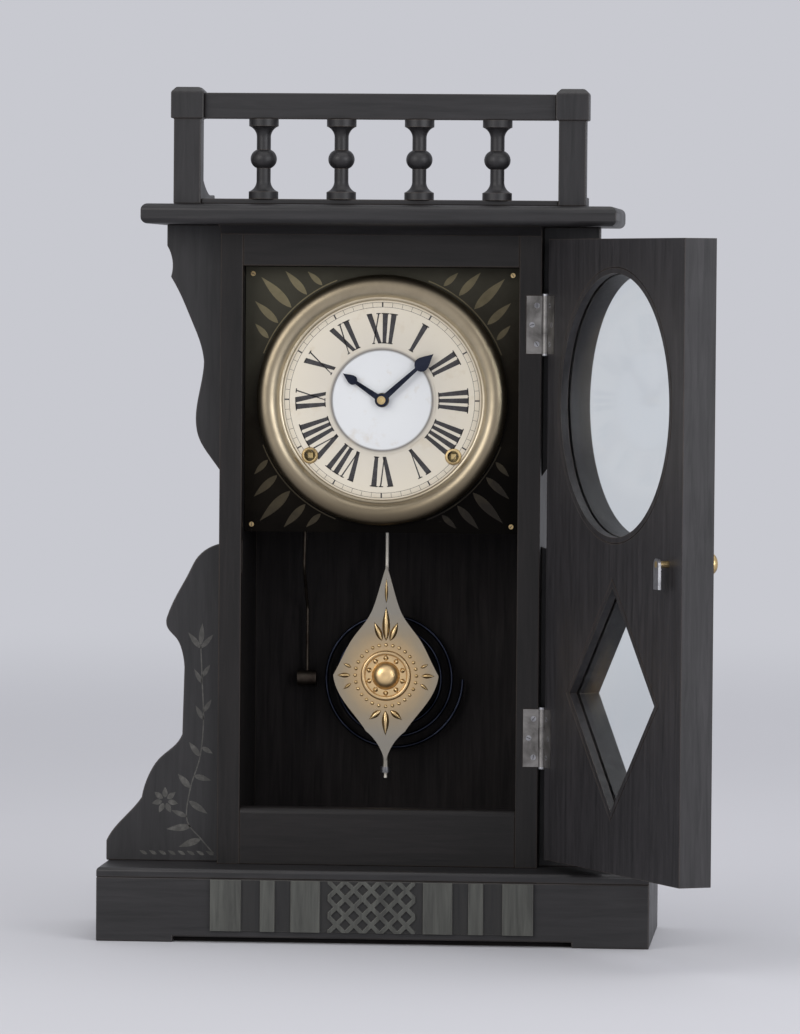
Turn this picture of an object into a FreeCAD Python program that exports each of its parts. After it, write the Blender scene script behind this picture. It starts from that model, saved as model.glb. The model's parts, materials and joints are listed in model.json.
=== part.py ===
"""A gallery-top shelf clock with a hinged door, a dial, a pendulum and an eight-day movement.

Millimetres. x runs to the right, y to the back and z up. The origin is the middle of the underside
of the base. At rest the door stands open, the hands show eight minutes past ten and the pendulum hangs
straight down.
"""
import FreeCAD, Part
import math
import os

import Sketcher

# Driving values: name, value, what it is
SIZES = (
    ("base_width", 344.0, "base, end to end"),
    ("base_depth", 140.0, "base, front to back"),
    ("base_height", 46.0, "base, floor to top face"),
    ("base_wall", 9.0, "front, end and back panels of the base"),
    ("base_lid", 6.0, "top board of the base"),
    ("base_floor", 6.0, "bottom board of the base"),
    ("base_foot_width", 48.0, "foot left at each end of the front panel"),
    ("base_foot_height", 3.5, "kerf under the front panel, between its feet"),
    ("lid_round", 2.5, "rounding of the lid's top edges"),
    ("frieze_height", 32.0, "ornament on the base front"),
    ("frieze_sink", 4.0, "ornament's lower edge above the feet's kerf"),
    ("frieze_plate", 1.2, "ornament's backing strip"),
    ("frieze_relief", 1.6, "ornament's bars and lattice above the strip"),
    ("frieze_bar", 2.6, "width of one lattice bar"),
    ("case_width", 200.8, "case, outside"),
    ("case_depth", 100.0, "case, front to back"),
    ("case_height", 400.0, "case sides"),
    ("case_setback", 35.0, "case front behind the base front"),
    ("side_wall", 14.0, "case side boards"),
    ("back_wall", 6.0, "back board"),
    ("rail_height", 36.0, "bottom rail of the case front"),
    ("rail_wall", 10.0, "bottom and top rail, front to back"),
    ("rail_round", 4.0, "rounding of the bottom rail's top edge"),
    ("cornice_width", 295.0, "cornice board"),
    ("cornice_depth", 135.0, "cornice board, front to back"),
    ("cornice_height", 12.5, "cornice board"),
    ("cornice_nose", 4.0, "rounding of the cornice's front edges"),
    ("cove_height", 6.0, "cove moulding under the cornice"),
    ("cove_reach", 20.0, "cove moulding, front to back"),
    ("gallery_width", 259.8, "over both gallery posts"),
    ("gallery_setback", 8.0, "post front behind the cornice front"),
    ("gallery_height", 72.5, "posts, cornice top to post top"),
    ("post_side", 17.0, "square post"),
    ("post_cap_side", 20.5, "square cap of a post"),
    ("post_cap_bevel", 3.0, "bevel round the cap's top"),
    ("foot_rail_height", 3.4, "gallery's bottom rail"),
    ("top_rail_height", 16.0, "gallery's top rail"),
    ("top_rail_drop", 3.5, "top rail below the post tops"),
    ("gallery_rail_depth", 12.0, "both gallery rails"),
    ("baluster_pitch", 48.5, "baluster to baluster"),
    ("baluster_neck", 4.4, "baluster's slim radius"),
    ("baluster_ball", 8.2, "baluster's middle bead radius"),
    ("baluster_collar", 9.2, "baluster's end collar radius"),
    ("return_wall", 10.0, "side rail of the gallery"),
    ("return_height", 32.0, "side rail at the post"),
    ("return_tail", 7.0, "side rail at its back end"),
    ("return_length", 96.0, "side rail, front to back"),
    ("wing_wall", 12.0, "scroll-cut wings, front to back"),
    ("wing_setback", 15.0, "wing front behind the case front"),
    ("upper_wing_height", 156.0, "upper wing"),
    ("upper_wing_reach", 35.5, "upper wing, out from the case side"),
    ("wing_gap", 44.0, "case side left bare between the two wings"),
    ("door_wall", 21.0, "door board"),
    ("door_gap", 1.0, "closed door to the case front"),
    ("door_foot_gap", 6.0, "door's lower edge above the base"),
    ("door_head_gap", 7.7, "door's top edge below the cornice"),
    ("round_window", 80.0, "radius of the round window"),
    ("diamond_width", 125.0, "diamond window, corner to corner"),
    ("diamond_foot", 38.0, "diamond window's lowest corner above the door's lower edge"),
    ("window_bridge", 31.0, "wood between the diamond's top corner and the round window"),
    ("rebate_width", 4.0, "glass rebate round a window"),
    ("rebate_depth", 7.5, "glass rebate from the door's inner face"),
    ("glass_wall", 2.5, "door glass"),
    ("glass_play", 0.3, "glass and bead to their rebate"),
    ("bead_width", 3.4, "glazing bead"),
    ("leaf_height", 36.0, "hinge leaf"),
    ("leaf_width", 12.0, "hinge leaf beside the knuckles"),
    ("leaf_wall", 1.1, "hinge leaf"),
    ("leaf_proud", 0.3, "hinge leaf above the wood it is let into"),
    ("knuckle_radius", 2.4, "hinge knuckle"),
    ("knuckle_play", 0.2, "gap between two knuckles, and between a knuckle and the wood"),
    ("pin_radius", 1.1, "hinge pin"),
    ("pin_head", 1.2, "hinge pin beyond the knuckles"),
    ("upper_hinge_drop", 53.3, "middle of the upper hinge below the door's top edge"),
    ("lower_hinge_rise", 75.5, "middle of the lower hinge above the door's lower edge"),
    ("knob_inset", 20.0, "door knob's axis from the door's free edge"),
    ("knob_drop", 93.0, "door knob's axis below the dial centre"),
    ("knob_radius", 6.5, "door knob"),
    ("knob_reach", 9.0, "door knob in front of the door"),
    ("spindle_radius", 2.0, "latch spindle"),
    ("tongue_length", 15.0, "latch tongue from its axis"),
    ("tongue_width", 7.0, "latch tongue"),
    ("tongue_wall", 1.8, "latch tongue"),
    ("tongue_stand", 6.0, "latch tongue behind the door's inner face"),
    ("keeper_play", 0.8, "room round the tongue in the case side"),
    ("dial_drop", 109.0, "dial centre below the cornice"),
    ("dial_setback", 15.0, "dial plate's front behind the case front"),
    ("dial_plate_wall", 1.0, "dial plate"),
    ("dial_plate_height", 166.0, "dial plate"),
    ("dial_play", 0.4, "dial plate to the case sides"),
    ("dial_radius", 64.2, "dial face"),
    ("dial_wall", 0.6, "dial face"),
    ("dial_ring_radius", 32.5, "middle of the pressed ring on the dial face"),
    ("dial_ring_width", 2.4, "pressed ring on the dial face"),
    ("bezel_inner", 64.5, "bezel's inner radius"),
    ("bezel_outer", 78.5, "bezel's outer radius"),
    ("bezel_rise", 7.5, "bezel's front above the dial plate"),
    ("grommet_outer", 5.2, "winding hole's grommet, outer radius"),
    ("grommet_bore", 3.6, "winding hole's grommet, bore radius"),
    ("grommet_rise", 1.0, "grommet's lip above the dial face"),
    ("hour_hand_length", 33.0, "hour hand from its axis"),
    ("minute_hand_length", 50.0, "minute hand from its axis"),
    ("hand_wall", 0.8, "hands"),
    ("hand_boss", 4.2, "hand's round boss, radius"),
    ("hand_blade", 2.0, "hand's blade, half width at the boss"),
    ("hand_spade", 4.4, "spade of a hand, radius"),
    ("hand_spacing", 1.5, "dial to hour hand and hour hand to minute hand"),
    ("hand_nut_radius", 2.6, "nut that holds the minute hand"),
    ("hand_nut_wall", 2.0, "nut that holds the minute hand"),
    ("bob_height", 161.5, "middle of the pendulum bob above the floor"),
    ("bob_width", 67.0, "bob, tip to tip"),
    ("bob_top", 70.0, "bob, middle to top point"),
    ("bob_bottom", 57.0, "bob, middle to bottom point"),
    ("bob_wall", 2.4, "bob plate"),
    ("bob_boss", 9.0, "domed boss of the bob, radius"),
    ("bob_ring", 14.5, "raised ring round the boss, middle radius"),
    ("bob_ring_wire", 1.5, "raised ring's bead radius"),
    ("pendulum_depth", 65.0, "pendulum rod behind the case front"),
    ("rod_radius", 1.0, "pendulum rod"),
    ("rod_play", 0.05, "sliding clearance of the bob on its rod"),
    ("rod_end", 8.0, "threaded rod end below the bob"),
    ("rating_nut_radius", 3.4, "rating nut"),
    ("rating_nut_height", 3.6, "rating nut"),
    ("spring_wall", 0.25, "suspension spring"),
    ("spring_width", 5.0, "suspension spring"),
    ("spring_length", 13.0, "suspension spring below the cock"),
    ("spring_play", 0.3, "gap under the suspension cock"),
    ("cock_width", 12.0, "suspension cock"),
    ("cock_rise", 8.5, "suspension cock above the pallet arbor"),
    ("cock_foot", 3.8, "suspension cock's underside above the pallet arbor"),
    ("cock_chop", 5.0, "suspension cock's jaws, front to back"),
    ("winding_inset", 18.0, "winding arbors from the plates' edges"),
    ("winding_drop", 35.0, "winding arbors below the dial centre"),
    ("movement_setback", 25.2, "movement's front plate behind the case front"),
    ("plate_wall", 1.8, "movement plates"),
    ("plate_gap", 28.0, "between the movement plates"),
    ("plate_width", 126.0, "movement plates"),
    ("plate_top", 54.0, "movement plates above the dial centre"),
    ("plate_bottom", 65.0, "movement plates below the dial centre"),
    ("plate_corner", 6.0, "plates' corner radius"),
    ("pillar_radius", 2.8, "movement pillars"),
    ("pillar_inset", 3.6, "pillars from the plates' edges"),
    ("lug_length", 14.0, "front plate's fixing lugs beyond its edge"),
    ("lug_height", 12.0, "front plate's fixing lugs"),
    ("lug_inset", 10.0, "lugs from the plate's top and bottom"),
    ("cleat_width", 14.0, "wooden cleats beside the movement"),
    ("cleat_behind", 20.0, "cleats behind the lugs"),
    ("cleat_play", 0.3, "lugs to the step in the cleats"),
    ("window_near", 38.0, "openings in the plates, nearest to the middle"),
    ("window_far", 55.0, "openings in the plates, farthest from the middle"),
    ("window_low", 14.0, "openings in the plates above the dial centre, lower edge"),
    ("window_high", 42.0, "openings in the plates above the dial centre, upper edge"),
    ("arbor_radius", 1.3, "arbors between the plates"),
    ("pivot_radius", 0.8, "pivots in the plates"),
    ("winding_arbor_radius", 2.3, "winding arbors"),
    ("square_side", 3.2, "winding squares"),
    ("square_reach", 3.0, "winding squares behind the dial plate's front"),
    ("end_play", 0.25, "arbors' shoulders to the plates"),
    ("running_play", 0.06, "running clearance of every pivot and pin"),
    ("cannon_wall", 0.8, "pipe of the cannon pinion"),
    ("hour_pipe_wall", 0.9, "pipe of the hour wheel"),
    ("stud_radius", 1.0, "minute wheel's stud"),
    ("minute_level", 1.5, "minute wheel in front of the front plate"),
    ("hour_level", 4.5, "hour wheel in front of the front plate"),
    ("wheel_wall", 1.2, "train wheels"),
    ("great_wheel_wall", 1.8, "great wheels"),
    ("pinion_overlap", 0.6, "pinion beyond its wheel on each side"),
    ("great_module", 1.25, "tooth module of great wheels and second wheel"),
    ("train_module", 0.9, "tooth module of the faster wheels"),
    ("motion_module", 0.6, "tooth module under the dial"),
    ("hub_radius", 3.4, "hub left inside a wheel's crossings"),
    ("arm_width", 3.0, "arm between two crossings"),
    ("rim_width", 2.6, "rim left outside a wheel's crossings"),
    ("spring_coil_inner", 6.0, "mainspring's inner coil radius"),
    ("spring_coil_wall", 0.9, "mainspring strip"),
    ("spring_coil_pitch", 4.4, "mainspring coil to coil"),
    ("spring_coil_height", 15.5, "mainspring strip height"),
    ("second_level", 1.6, "second wheels behind the front plate"),
    ("great_level", 5.0, "great wheels behind the front plate"),
    ("mainspring_level", 10.6, "mainsprings behind the front plate"),
    ("pin_level", 8.4, "pin wheel behind the front plate"),
    ("centre_level", 11.2, "centre wheel behind the front plate"),
    ("third_level", 17.0, "third and warning wheels behind the front plate"),
    ("escape_level", 22.2, "escape wheel behind the front plate"),
    ("escape_radius", 13.0, "escape wheel's tooth tips"),
    ("escape_tooth", 3.0, "escape wheel's tooth height"),
    ("escape_rise", 27.0, "escape arbor above the dial centre"),
    ("pallet_clearance", 0.9, "pallets outside the escape wheel's tips"),
    ("pallet_width", 1.4, "pallets"),
    ("anchor_width", 3.6, "anchor arms"),
    ("crutch_length", 62.0, "crutch below its arbor"),
    ("crutch_radius", 0.9, "crutch wire"),
    ("crutch_stand", 2.2, "crutch behind the back plate"),
    ("fork_play", 0.3, "crutch fork to the rod"),
    ("fly_width", 16.0, "fly, across its arbor"),
    ("fly_wall", 0.6, "fly vane"),
    ("fly_height", 7.0, "fly vane along its arbor"),
    ("pin_circle", 9.6, "lifting pins on the pin wheel, circle radius"),
    ("lifting_pin", 0.8, "lifting pins, radius"),
    ("pin_length", 3.2, "lifting pins"),
    ("hammer_arbor_inset", 13.0, "hammer arbor from the plates' edge"),
    ("hammer_arbor_rise", 4.0, "hammer arbor above the dial centre"),
    ("hammer_tail_play", 0.9, "hammer tail to the lifting pins"),
    ("hammer_wire", 1.0, "hammer wire radius"),
    ("hammer_radius", 5.0, "hammer head"),
    ("hammer_length", 12.0, "hammer head"),
    ("hammer_bend", 68.0, "bend of the hammer's wire above the middle of the bob"),
    ("hammer_gap", 1.6, "hammer head to the gong at rest"),
    ("gong_height", 158.0, "gong centre above the floor"),
    ("gong_depth", 87.0, "gong wire behind the case front"),
    ("gong_wire", 1.2, "gong wire radius"),
    ("gong_pitch", 7.0, "gong coil to coil"),
    ("gong_inner", 12.0, "gong's inner coil radius"),
    ("gong_boss", 12.5, "gong stand's foot radius"),
    ("gong_foot", 3.0, "gong stand's foot"),
    ("overrun", 2.0, "how far a cutting form runs past what it cuts"),
)

COUNTS = (
    ("great_teeth", 40, "great wheels"),
    ("second_teeth", 40, "second wheel of the time train"),
    ("strike_second_teeth", 36, "second wheel of the strike train"),
    ("centre_teeth", 36, "centre wheel"),
    ("third_teeth", 32, "third wheel and pin wheel"),
    ("warning_teeth", 24, "warning wheel"),
    ("pinion_teeth", 7, "train pinions"),
    ("escape_teeth", 26, "escape wheel"),
    ("cannon_teeth", 10, "cannon pinion"),
    ("minute_teeth", 30, "minute wheel"),
    ("minute_pinion_teeth", 8, "minute wheel's pinion"),
    ("hour_teeth", 32, "hour wheel"),
    ("crossings", 4, "openings in a wheel"),
    ("mainspring_turns", 3, "mainspring coils"),
    ("gong_turns", 5, "gong coils"),
    ("lifting_pins", 6, "pins on the pin wheel"),
    ("balusters", 4, "gallery balusters"),
    ("lattice_bars", 5, "lattice bars each way"),
)

ANGLES = (
    ("door_open", 116.8, "door at rest, from closed"),
    ("hour_hand_angle", 304.0, "hour hand, clockwise from twelve"),
    ("minute_hand_angle", 48.0, "minute hand, clockwise from twelve"),
    ("minute_wheel_way", 200.0, "way from the dial centre to the minute wheel, from x to z"),
    ("strike_second_way", 59.75, "way from the strike great wheel to its second wheel"),
    ("pin_wheel_way", 80.0, "way from there to the pin wheel"),
    ("warning_way", 68.0, "way from there to the warning wheel"),
    ("fly_way", 130.0, "way from there to the fly"),
)

# Tooth forms, as shares of the module or of the tooth pitch
ADDENDUM_SHARE = 0.85
DEDENDUM_SHARE = 1.2
ROOT_WIDTH_SHARE = 0.56
TIP_WIDTH_SHARE = 0.22
ESCAPE_ROOT_SHARE = 0.36
ESCAPE_LEAN_SHARE = 0.34

# Outlines, as shares of the piece's own reach and height
UPPER_WING_BULGE_SHARES = ((0.24, 0.075), (0.42, 0.145), (0.47, 0.245), (0.385, 0.36))
UPPER_WING_WAIST_SHARES = (0.335, 0.45)
UPPER_WING_SWEEP_SHARES = ((0.41, 0.53), (0.57, 0.62), (0.74, 0.71))
UPPER_WING_LOBE_SHARES = (0.93, 0.79)
UPPER_WING_HOLLOW_SHARES = ((0.90, 0.835), (0.925, 0.875))
UPPER_WING_LIP_SHARES = (1.0, 0.915)
LOWER_WING_HEAD_SHARES = ((0.12, 0.985), (0.215, 0.955), (0.29, 0.905), (0.39, 0.84))
LOWER_WING_TIP_SHARES = (0.48, 0.765)
LOWER_WING_HOOK_SHARES = ((0.455, 0.725), (0.39, 0.70), (0.345, 0.665))
LOWER_WING_NECK_SHARES = (0.32, 0.61)
LOWER_WING_STEM_SHARES = (0.335, 0.40)
LOWER_WING_KNEE_SHARES = ((0.40, 0.365), (0.53, 0.325), (0.63, 0.27))
LOWER_WING_STEP_SHARES = (0.69, 0.20)
LOWER_WING_FOOT_SHARES = ((0.78, 0.16), (0.90, 0.115))
LOWER_WING_HEEL_SHARES = (1.0, 0.062)
BOB_SHOULDER_SHARES = ((0.08, 0.88), (0.20, 0.68), (0.32, 0.54), (0.64, 0.33), (0.86, 0.13))
BOB_LOBE_SHARES = ((0.85, -0.24), (0.57, -0.46))
BOB_NOTCH_SHARES = (0.37, -0.62)
BOB_SKIRT_SHARES = ((0.15, -0.76),)
BOB_DOME_SHARES = (0.72, 0.34)
BOB_SLEEVE_SHARE = 2.4
BOB_STAND_SHARE = 1.5
CRUTCH_HUB_SHARE = 3.0
GONG_POST_SHARE = 3.0
FRIEZE_BLOCK_SHARES = ((0.81, 1.0), (0.60, 0.69), (0.32, 0.50))
LATTICE_SHARE = 0.27
COVE_SHARES = (0.35, 0.62)
BALUSTER_COLLAR_SHARE = 0.09
BALUSTER_HOLLOW_SHARE = 0.15
BALUSTER_NECK_SHARE = 0.24
BALUSTER_BEAD_SHARE = 0.385
BALUSTER_FLARE_SHARE = 1.25
RETURN_MIDDLE_SHARES = (0.42, 0.38)
BEZEL_SHARES = (0.62, 0.30)
KNOB_ROSE_SHARE = 0.85
KNOB_NECK_SHARE = 1.4
KNOB_STEP_SHARES = (0.14, 0.24, 0.40, 0.66)
GROMMET_SHARE = 0.3
SPADE_SHARE = 0.66
WIRE_GRIP_SHARE = 1.5
PRONG_SHARE = 1.6
BLOCK_SHARE = 1.6
ARC_STEPS = 24
MITRE_SHARE = 1.41

doc = FreeCAD.newDocument("shelf_clock")
sheet = doc.addObject("Spreadsheet::Sheet", "Sizes")
nodes = []
sketch_tolerance = 1e-6
full_turn = 360.0
half_turn = full_turn / 2
quarter_turn = full_turn / 4

X_AXIS = FreeCAD.Vector(1, 0, 0)
Y_AXIS = FreeCAD.Vector(0, 1, 0)
Z_AXIS = FreeCAD.Vector(0, 0, 1)


class Size:
    """A value with the sheet expression that gives it, so that sums of values stay bound."""

    def __init__(self, value, text=None):
        self.value = float(value)
        self.text = repr(self.value) if text is None else text

    def joined(self, sign, other, value):
        return Size(value, "(%s %s %s)" % (self.text, sign, other.text))

    def __add__(self, other):
        other = as_size(other)
        return self.joined("+", other, self.value + other.value)

    def __radd__(self, other):
        return as_size(other) + self

    def __sub__(self, other):
        other = as_size(other)
        return self.joined("-", other, self.value - other.value)

    def __rsub__(self, other):
        return as_size(other) - self

    def __mul__(self, other):
        other = as_size(other)
        return self.joined("*", other, self.value * other.value)

    def __rmul__(self, other):
        return as_size(other) * self

    def __truediv__(self, other):
        other = as_size(other)
        return self.joined("/", other, self.value / other.value)

    def __neg__(self):
        return Size(-self.value, "(-%s)" % self.text)

    def __float__(self):
        return self.value

    def cos(self):
        return Size(math.cos(math.radians(self.value)), "cos(%s)" % self.text)

    def sin(self):
        return Size(math.sin(math.radians(self.value)), "sin(%s)" % self.text)


def as_size(thing):
    """A plain number becomes a size, and a size stays one."""
    return thing if isinstance(thing, Size) else Size(thing)


class Values:
    """Gives a value of the sheet by its name."""

    def __getattr__(self, name):
        return Size(sheet.get(name), "Sizes." + name)

    def count(self, name):
        return int(round(sheet.get(name)))


def fill_sheet():
    """Writes every driving value into the sheet, with its name as the cell's alias."""
    row = 1
    for table in (SIZES, COUNTS, ANGLES):
        for name, value, note in table:
            sheet.set("A%d" % row, name)
            sheet.set("B%d" % row, str(value))
            sheet.set("C%d" % row, note)
            sheet.setAlias("B%d" % row, name)
            row += 1
    doc.recompute()


fill_sheet()
at = Values()

# Places that several pieces share
base_front = -(at.base_depth / 2)
case_front = base_front + at.case_setback
case_back = case_front + at.case_depth
case_half = at.case_width / 2
inner_half = case_half - at.side_wall
back_face = case_back - at.back_wall
cornice_under = at.base_height + at.case_height
cornice_top = cornice_under + at.cornice_height
cornice_back = at.base_depth / 2
cornice_front = cornice_back - at.cornice_depth
gallery_front = cornice_front + at.gallery_setback
wing_front = case_front + at.wing_setback
door_inner = case_front - at.door_gap
door_outer = door_inner - at.door_wall
door_bottom = at.base_height + at.door_foot_gap
door_top = cornice_under - at.door_head_gap
lower_hinge_height = door_bottom + at.lower_hinge_rise
upper_hinge_height = door_top - at.upper_hinge_drop
dial_height = cornice_under - at.dial_drop
knob_height = dial_height - at.knob_drop
diamond_low = door_bottom + at.diamond_foot
diamond_high = dial_height - at.round_window - at.window_bridge
winding_x = at.plate_width / 2 - at.winding_inset
hinge_x = case_half + at.knuckle_radius + at.knuckle_play
hinge_y = case_front - at.door_gap / 2
dial_front = case_front + at.dial_setback
dial_back = dial_front + at.dial_plate_wall
plate_front = case_front + at.movement_setback
plate_inner = plate_front + at.plate_wall
rear_plate_inner = plate_inner + at.plate_gap
rear_plate_back = rear_plate_inner + at.plate_wall
pendulum_y = case_front + at.pendulum_depth
gong_y = case_front + at.gong_depth
cannon_radius = at.arbor_radius + at.cannon_wall
hour_bore = cannon_radius + at.running_play
hour_pipe_radius = hour_bore + at.hour_pipe_wall
hour_hand_back = dial_front - at.dial_wall - at.hand_spacing
minute_hand_back = hour_hand_back - at.hand_wall - at.hand_spacing


def node(thing, label):
    """Marks an object as a finished sub-part, with the name of its file."""
    thing.Label = label
    nodes.append(thing)
    return thing


def bind(thing, path, size):
    """Drives one property of an object from a size."""
    thing.setExpression(path, as_size(size).text)


def bind_place(thing, x, y, z):
    """Puts an object at a place that follows the sizes."""
    for axis, size in (("x", x), ("y", y), ("z", z)):
        bind(thing, "Placement.Base." + axis, size)


def board(name, x, y, z):
    """A box between two places along each axis."""
    box = doc.addObject("Part::Box", name)
    for edge, (low, high) in (("Length", x), ("Width", y), ("Height", z)):
        bind(box, edge, as_size(high) - low)
    bind_place(box, x[0], y[0], z[0])
    return box


def rod(name, radius, length, place, axis=Z_AXIS):
    """A cylinder of a given length that starts at a place and runs along an axis."""
    cylinder = doc.addObject("Part::Cylinder", name)
    cylinder.Placement.Rotation = FreeCAD.Rotation(Z_AXIS, axis)
    bind(cylinder, "Radius", radius)
    bind(cylinder, "Height", length)
    bind_place(cylinder, *place)
    return cylinder


def cut(name, base, tools):
    """One piece less one or more tools."""
    for index, tool in enumerate(tools):
        step = doc.addObject("Part::Cut", "%s_%d" % (name, index))
        step.Base = base
        step.Tool = tool
        base = step
    return base


def fuse(name, pieces):
    """Several objects as one."""
    joined = doc.addObject("Part::MultiFuse", name)
    joined.Shapes = pieces
    return joined


def group(name, pieces):
    """Several separate solids in one sub-part."""
    compound = doc.addObject("Part::Compound", name)
    compound.Links = pieces
    return compound


def rounded(name, base, edges, radius):
    """A primitive with some edges rounded."""
    fillet = doc.addObject("Part::Fillet", name)
    fillet.Base = base
    fillet.Edges = [(edge, radius.value, radius.value) for edge in edges]
    return fillet


def edges_where(shape, test):
    """The numbers of the edges whose middle point passes a test, counted from one."""
    found = []
    for number, edge in enumerate(shape.Edges, 1):
        if test(edge.CenterOfMass, edge):
            found.append(number)
    return found


def origin_plane(body, role):
    """One of a body's own base planes."""
    return [plane for plane in body.Origin.OriginFeatures if plane.Role == role][0]


def new_sketch(body, name, role):
    """An empty sketch on one of a body's base planes."""
    sketch = body.newObject("Sketcher::SketchObject", name)
    sketch.AttachmentSupport = [(origin_plane(body, role), "")]
    sketch.MapMode = "FlatFace"
    return sketch


def flat(point):
    """A corner as a point in the plane of the sketch."""
    return FreeCAD.Vector(float(point[0]), float(point[1]), 0)


def edge_curve(start, end, between):
    """A line, an arc through one point or a spline through several."""
    if not between:
        return Part.LineSegment(start, end)
    if len(between) == 1:
        return Part.Arc(start, between[0], end)
    spline = Part.BSplineCurve()
    spline.interpolate([start] + between + [end])
    return spline


def pin_point(sketch, geometry, place, size_x, size_y):
    """Fixes the end of a curve that lies at a place, and says which end it is."""
    for end in (1, 2):
        if sketch.getPoint(geometry, end).distanceToPoint(place) < sketch_tolerance:
            break
    for kind, size in (("DistanceX", size_x), ("DistanceY", size_y)):
        size = as_size(size)
        index = sketch.addConstraint(Sketcher.Constraint(kind, -1, 1, geometry, end, size.value))
        bind(sketch, "Constraints[%d]" % index, size)
    return end


def outline(body, name, role, corners):
    """A closed sketch. A corner is (u, v), or (u, v, between) when the edge to it is curved."""
    sketch = new_sketch(body, name, role)
    places = [flat(corner) for corner in corners]
    curves = []
    for index, corner in enumerate(corners):
        between = [flat(point) for point in corner[2]] if len(corner) > 2 else []
        curves.append(edge_curve(places[index - 1], places[index], between))
    sketch.addGeometry(curves, False)
    starts = []
    ends = []
    for index, corner in enumerate(corners):
        before = corners[index - 1]
        starts.append(pin_point(sketch, index, places[index - 1], before[0], before[1]))
        ends.append(3 - starts[index])
    for index in range(len(corners)):
        following = (index + 1) % len(corners)
        sketch.addConstraint(
            Sketcher.Constraint("Coincident", index, ends[index], following, starts[following]))
    return sketch


def circles(body, name, role, rounds):
    """A sketch of circles, each (u, v, radius)."""
    sketch = new_sketch(body, name, role)
    for u, v, radius in rounds:
        size = as_size(radius)
        index = sketch.addGeometry(Part.Circle(flat((u, v)), Z_AXIS, size.value), False)
        held = sketch.addConstraint(Sketcher.Constraint("Radius", index, size.value))
        bind(sketch, "Constraints[%d]" % held, size)
        for kind, place in (("DistanceX", u), ("DistanceY", v)):
            place = as_size(place)
            held = sketch.addConstraint(
                Sketcher.Constraint(kind, -1, 1, index, 3, place.value))
            bind(sketch, "Constraints[%d]" % held, place)
    return sketch


def pad(body, name, sketch, length, backward=False):
    """Runs a sketch out to a solid."""
    feature = body.newObject("PartDesign::Pad", name)
    feature.Profile = sketch
    bind(feature, "Length", length)
    feature.Reversed = backward
    return feature


def pocket(body, name, sketch, depth, backward=False):
    """Cuts a sketch away, and stops if it met nothing."""
    doc.recompute()
    before = body.Shape.Volume
    feature = body.newObject("PartDesign::Pocket", name)
    feature.Profile = sketch
    bind(feature, "Length", depth)
    feature.Reversed = backward
    doc.recompute()
    if not body.Shape.Volume < before:
        raise RuntimeError("%s cuts nothing from %s" % (name, body.Name))
    return feature


def slab(name, corners, front, wall):
    """A flat piece whose outline faces the front, from a front place to the back."""
    body = doc.addObject("PartDesign::Body", name)
    pad(body, name + "_pad", outline(body, name + "_outline", "XZ_Plane", corners), wall)
    bind_place(body, 0, as_size(front) + wall, 0)
    return body


def turned(name, profile, place=(0, 0, 0)):
    """A turned piece round an upright axis. The profile is a list of (radius, height) corners."""
    body = doc.addObject("PartDesign::Body", name)
    sketch = outline(body, name + "_profile", "XZ_Plane", profile)
    feature = body.newObject("PartDesign::Revolution", name + "_turning")
    feature.Profile = sketch
    feature.ReferenceAxis = (sketch, ["V_Axis"])
    feature.Angle = full_turn
    bind_place(body, *place)
    return body


def turned_forward(name, profile, x, y, z):
    """A turned piece whose axis runs to the front: profile heights count forward from y."""
    body = turned(name, profile, (x, y, z))
    body.Placement.Rotation = FreeCAD.Rotation(X_AXIS, quarter_turn)
    return body


def made(name, shape):
    """A piece whose shape no feature above can give."""
    feature = doc.addObject("Part::Feature", name)
    feature.Shape = shape
    return feature


def on_door(label, pieces):
    """Pieces drawn for the closed door, swung out on the hinge pins to the open rest pose."""
    hung = group(label + "_hung", pieces)
    turn_cos = at.door_open.cos()
    turn_sin = at.door_open.sin()
    hung.Placement.Rotation = FreeCAD.Rotation(Z_AXIS, at.door_open.value)
    bind(hung, "Placement.Rotation.Angle", at.door_open)
    bind(hung, "Placement.Base.x", hinge_x - hinge_x * turn_cos + hinge_y * turn_sin)
    bind(hung, "Placement.Base.y", hinge_y - hinge_x * turn_sin - hinge_y * turn_cos)
    return node(hung, label)


def mirrored(points):
    """The same outline on the other side of the middle plane, in the opposite order."""
    flipped = []
    for index in range(len(points) - 1, -1, -1):
        u, v = points[index][:2]
        curve = points[(index + 1) % len(points)][2:]
        between = [(-p, q) for p, q in reversed(curve[0])] if curve else None
        flipped.append((-as_size(u), v, between) if between else (-as_size(u), v))
    return flipped


def share_points(shares, start_u, reach, start_v, height):
    """Shares of a reach and a height, as places."""
    return [(start_u + reach * u, start_v + height * v) for u, v in shares]


def make_base():
    """Floor board, front, ends, back and lid of the base."""
    half = at.base_width / 2
    lid_under = at.base_height - at.base_lid
    foot = half - at.base_foot_width
    inside = half - at.base_wall
    back = at.base_depth / 2
    panel_back = base_front + at.base_wall
    front = slab("base_front", [
        (-half, 0), (-foot, 0), (-foot, at.base_foot_height), (foot, at.base_foot_height),
        (foot, 0), (half, 0), (half, lid_under), (-half, lid_under)], base_front, at.base_wall)
    node(front, "base_front_panel")
    ends = [
        board("base_end_left", (-half, -inside), (panel_back, back), (0, lid_under)),
        board("base_end_right", (inside, half), (panel_back, back), (0, lid_under))]
    node(group("base_ends", ends), "base_end_panels")
    rear = board("base_rear", (-inside, inside), (back - at.base_wall, back), (0, lid_under))
    node(rear, "base_back_panel")
    floor = board("base_bottom", (-inside, inside), (panel_back, back - at.base_wall),
                  (0, at.base_floor))
    node(floor, "base_floor_board")
    lid = board("base_lid_board", (-half, half), (base_front, back), (lid_under, at.base_height))
    doc.recompute()
    top_edges = edges_where(
        lid.Shape,
        lambda middle, edge: middle.z > at.base_height.value - sketch_tolerance
        and middle.y < back.value - sketch_tolerance)
    node(rounded("base_lid_rounded", lid, top_edges, at.lid_round), "base_top_board")


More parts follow.
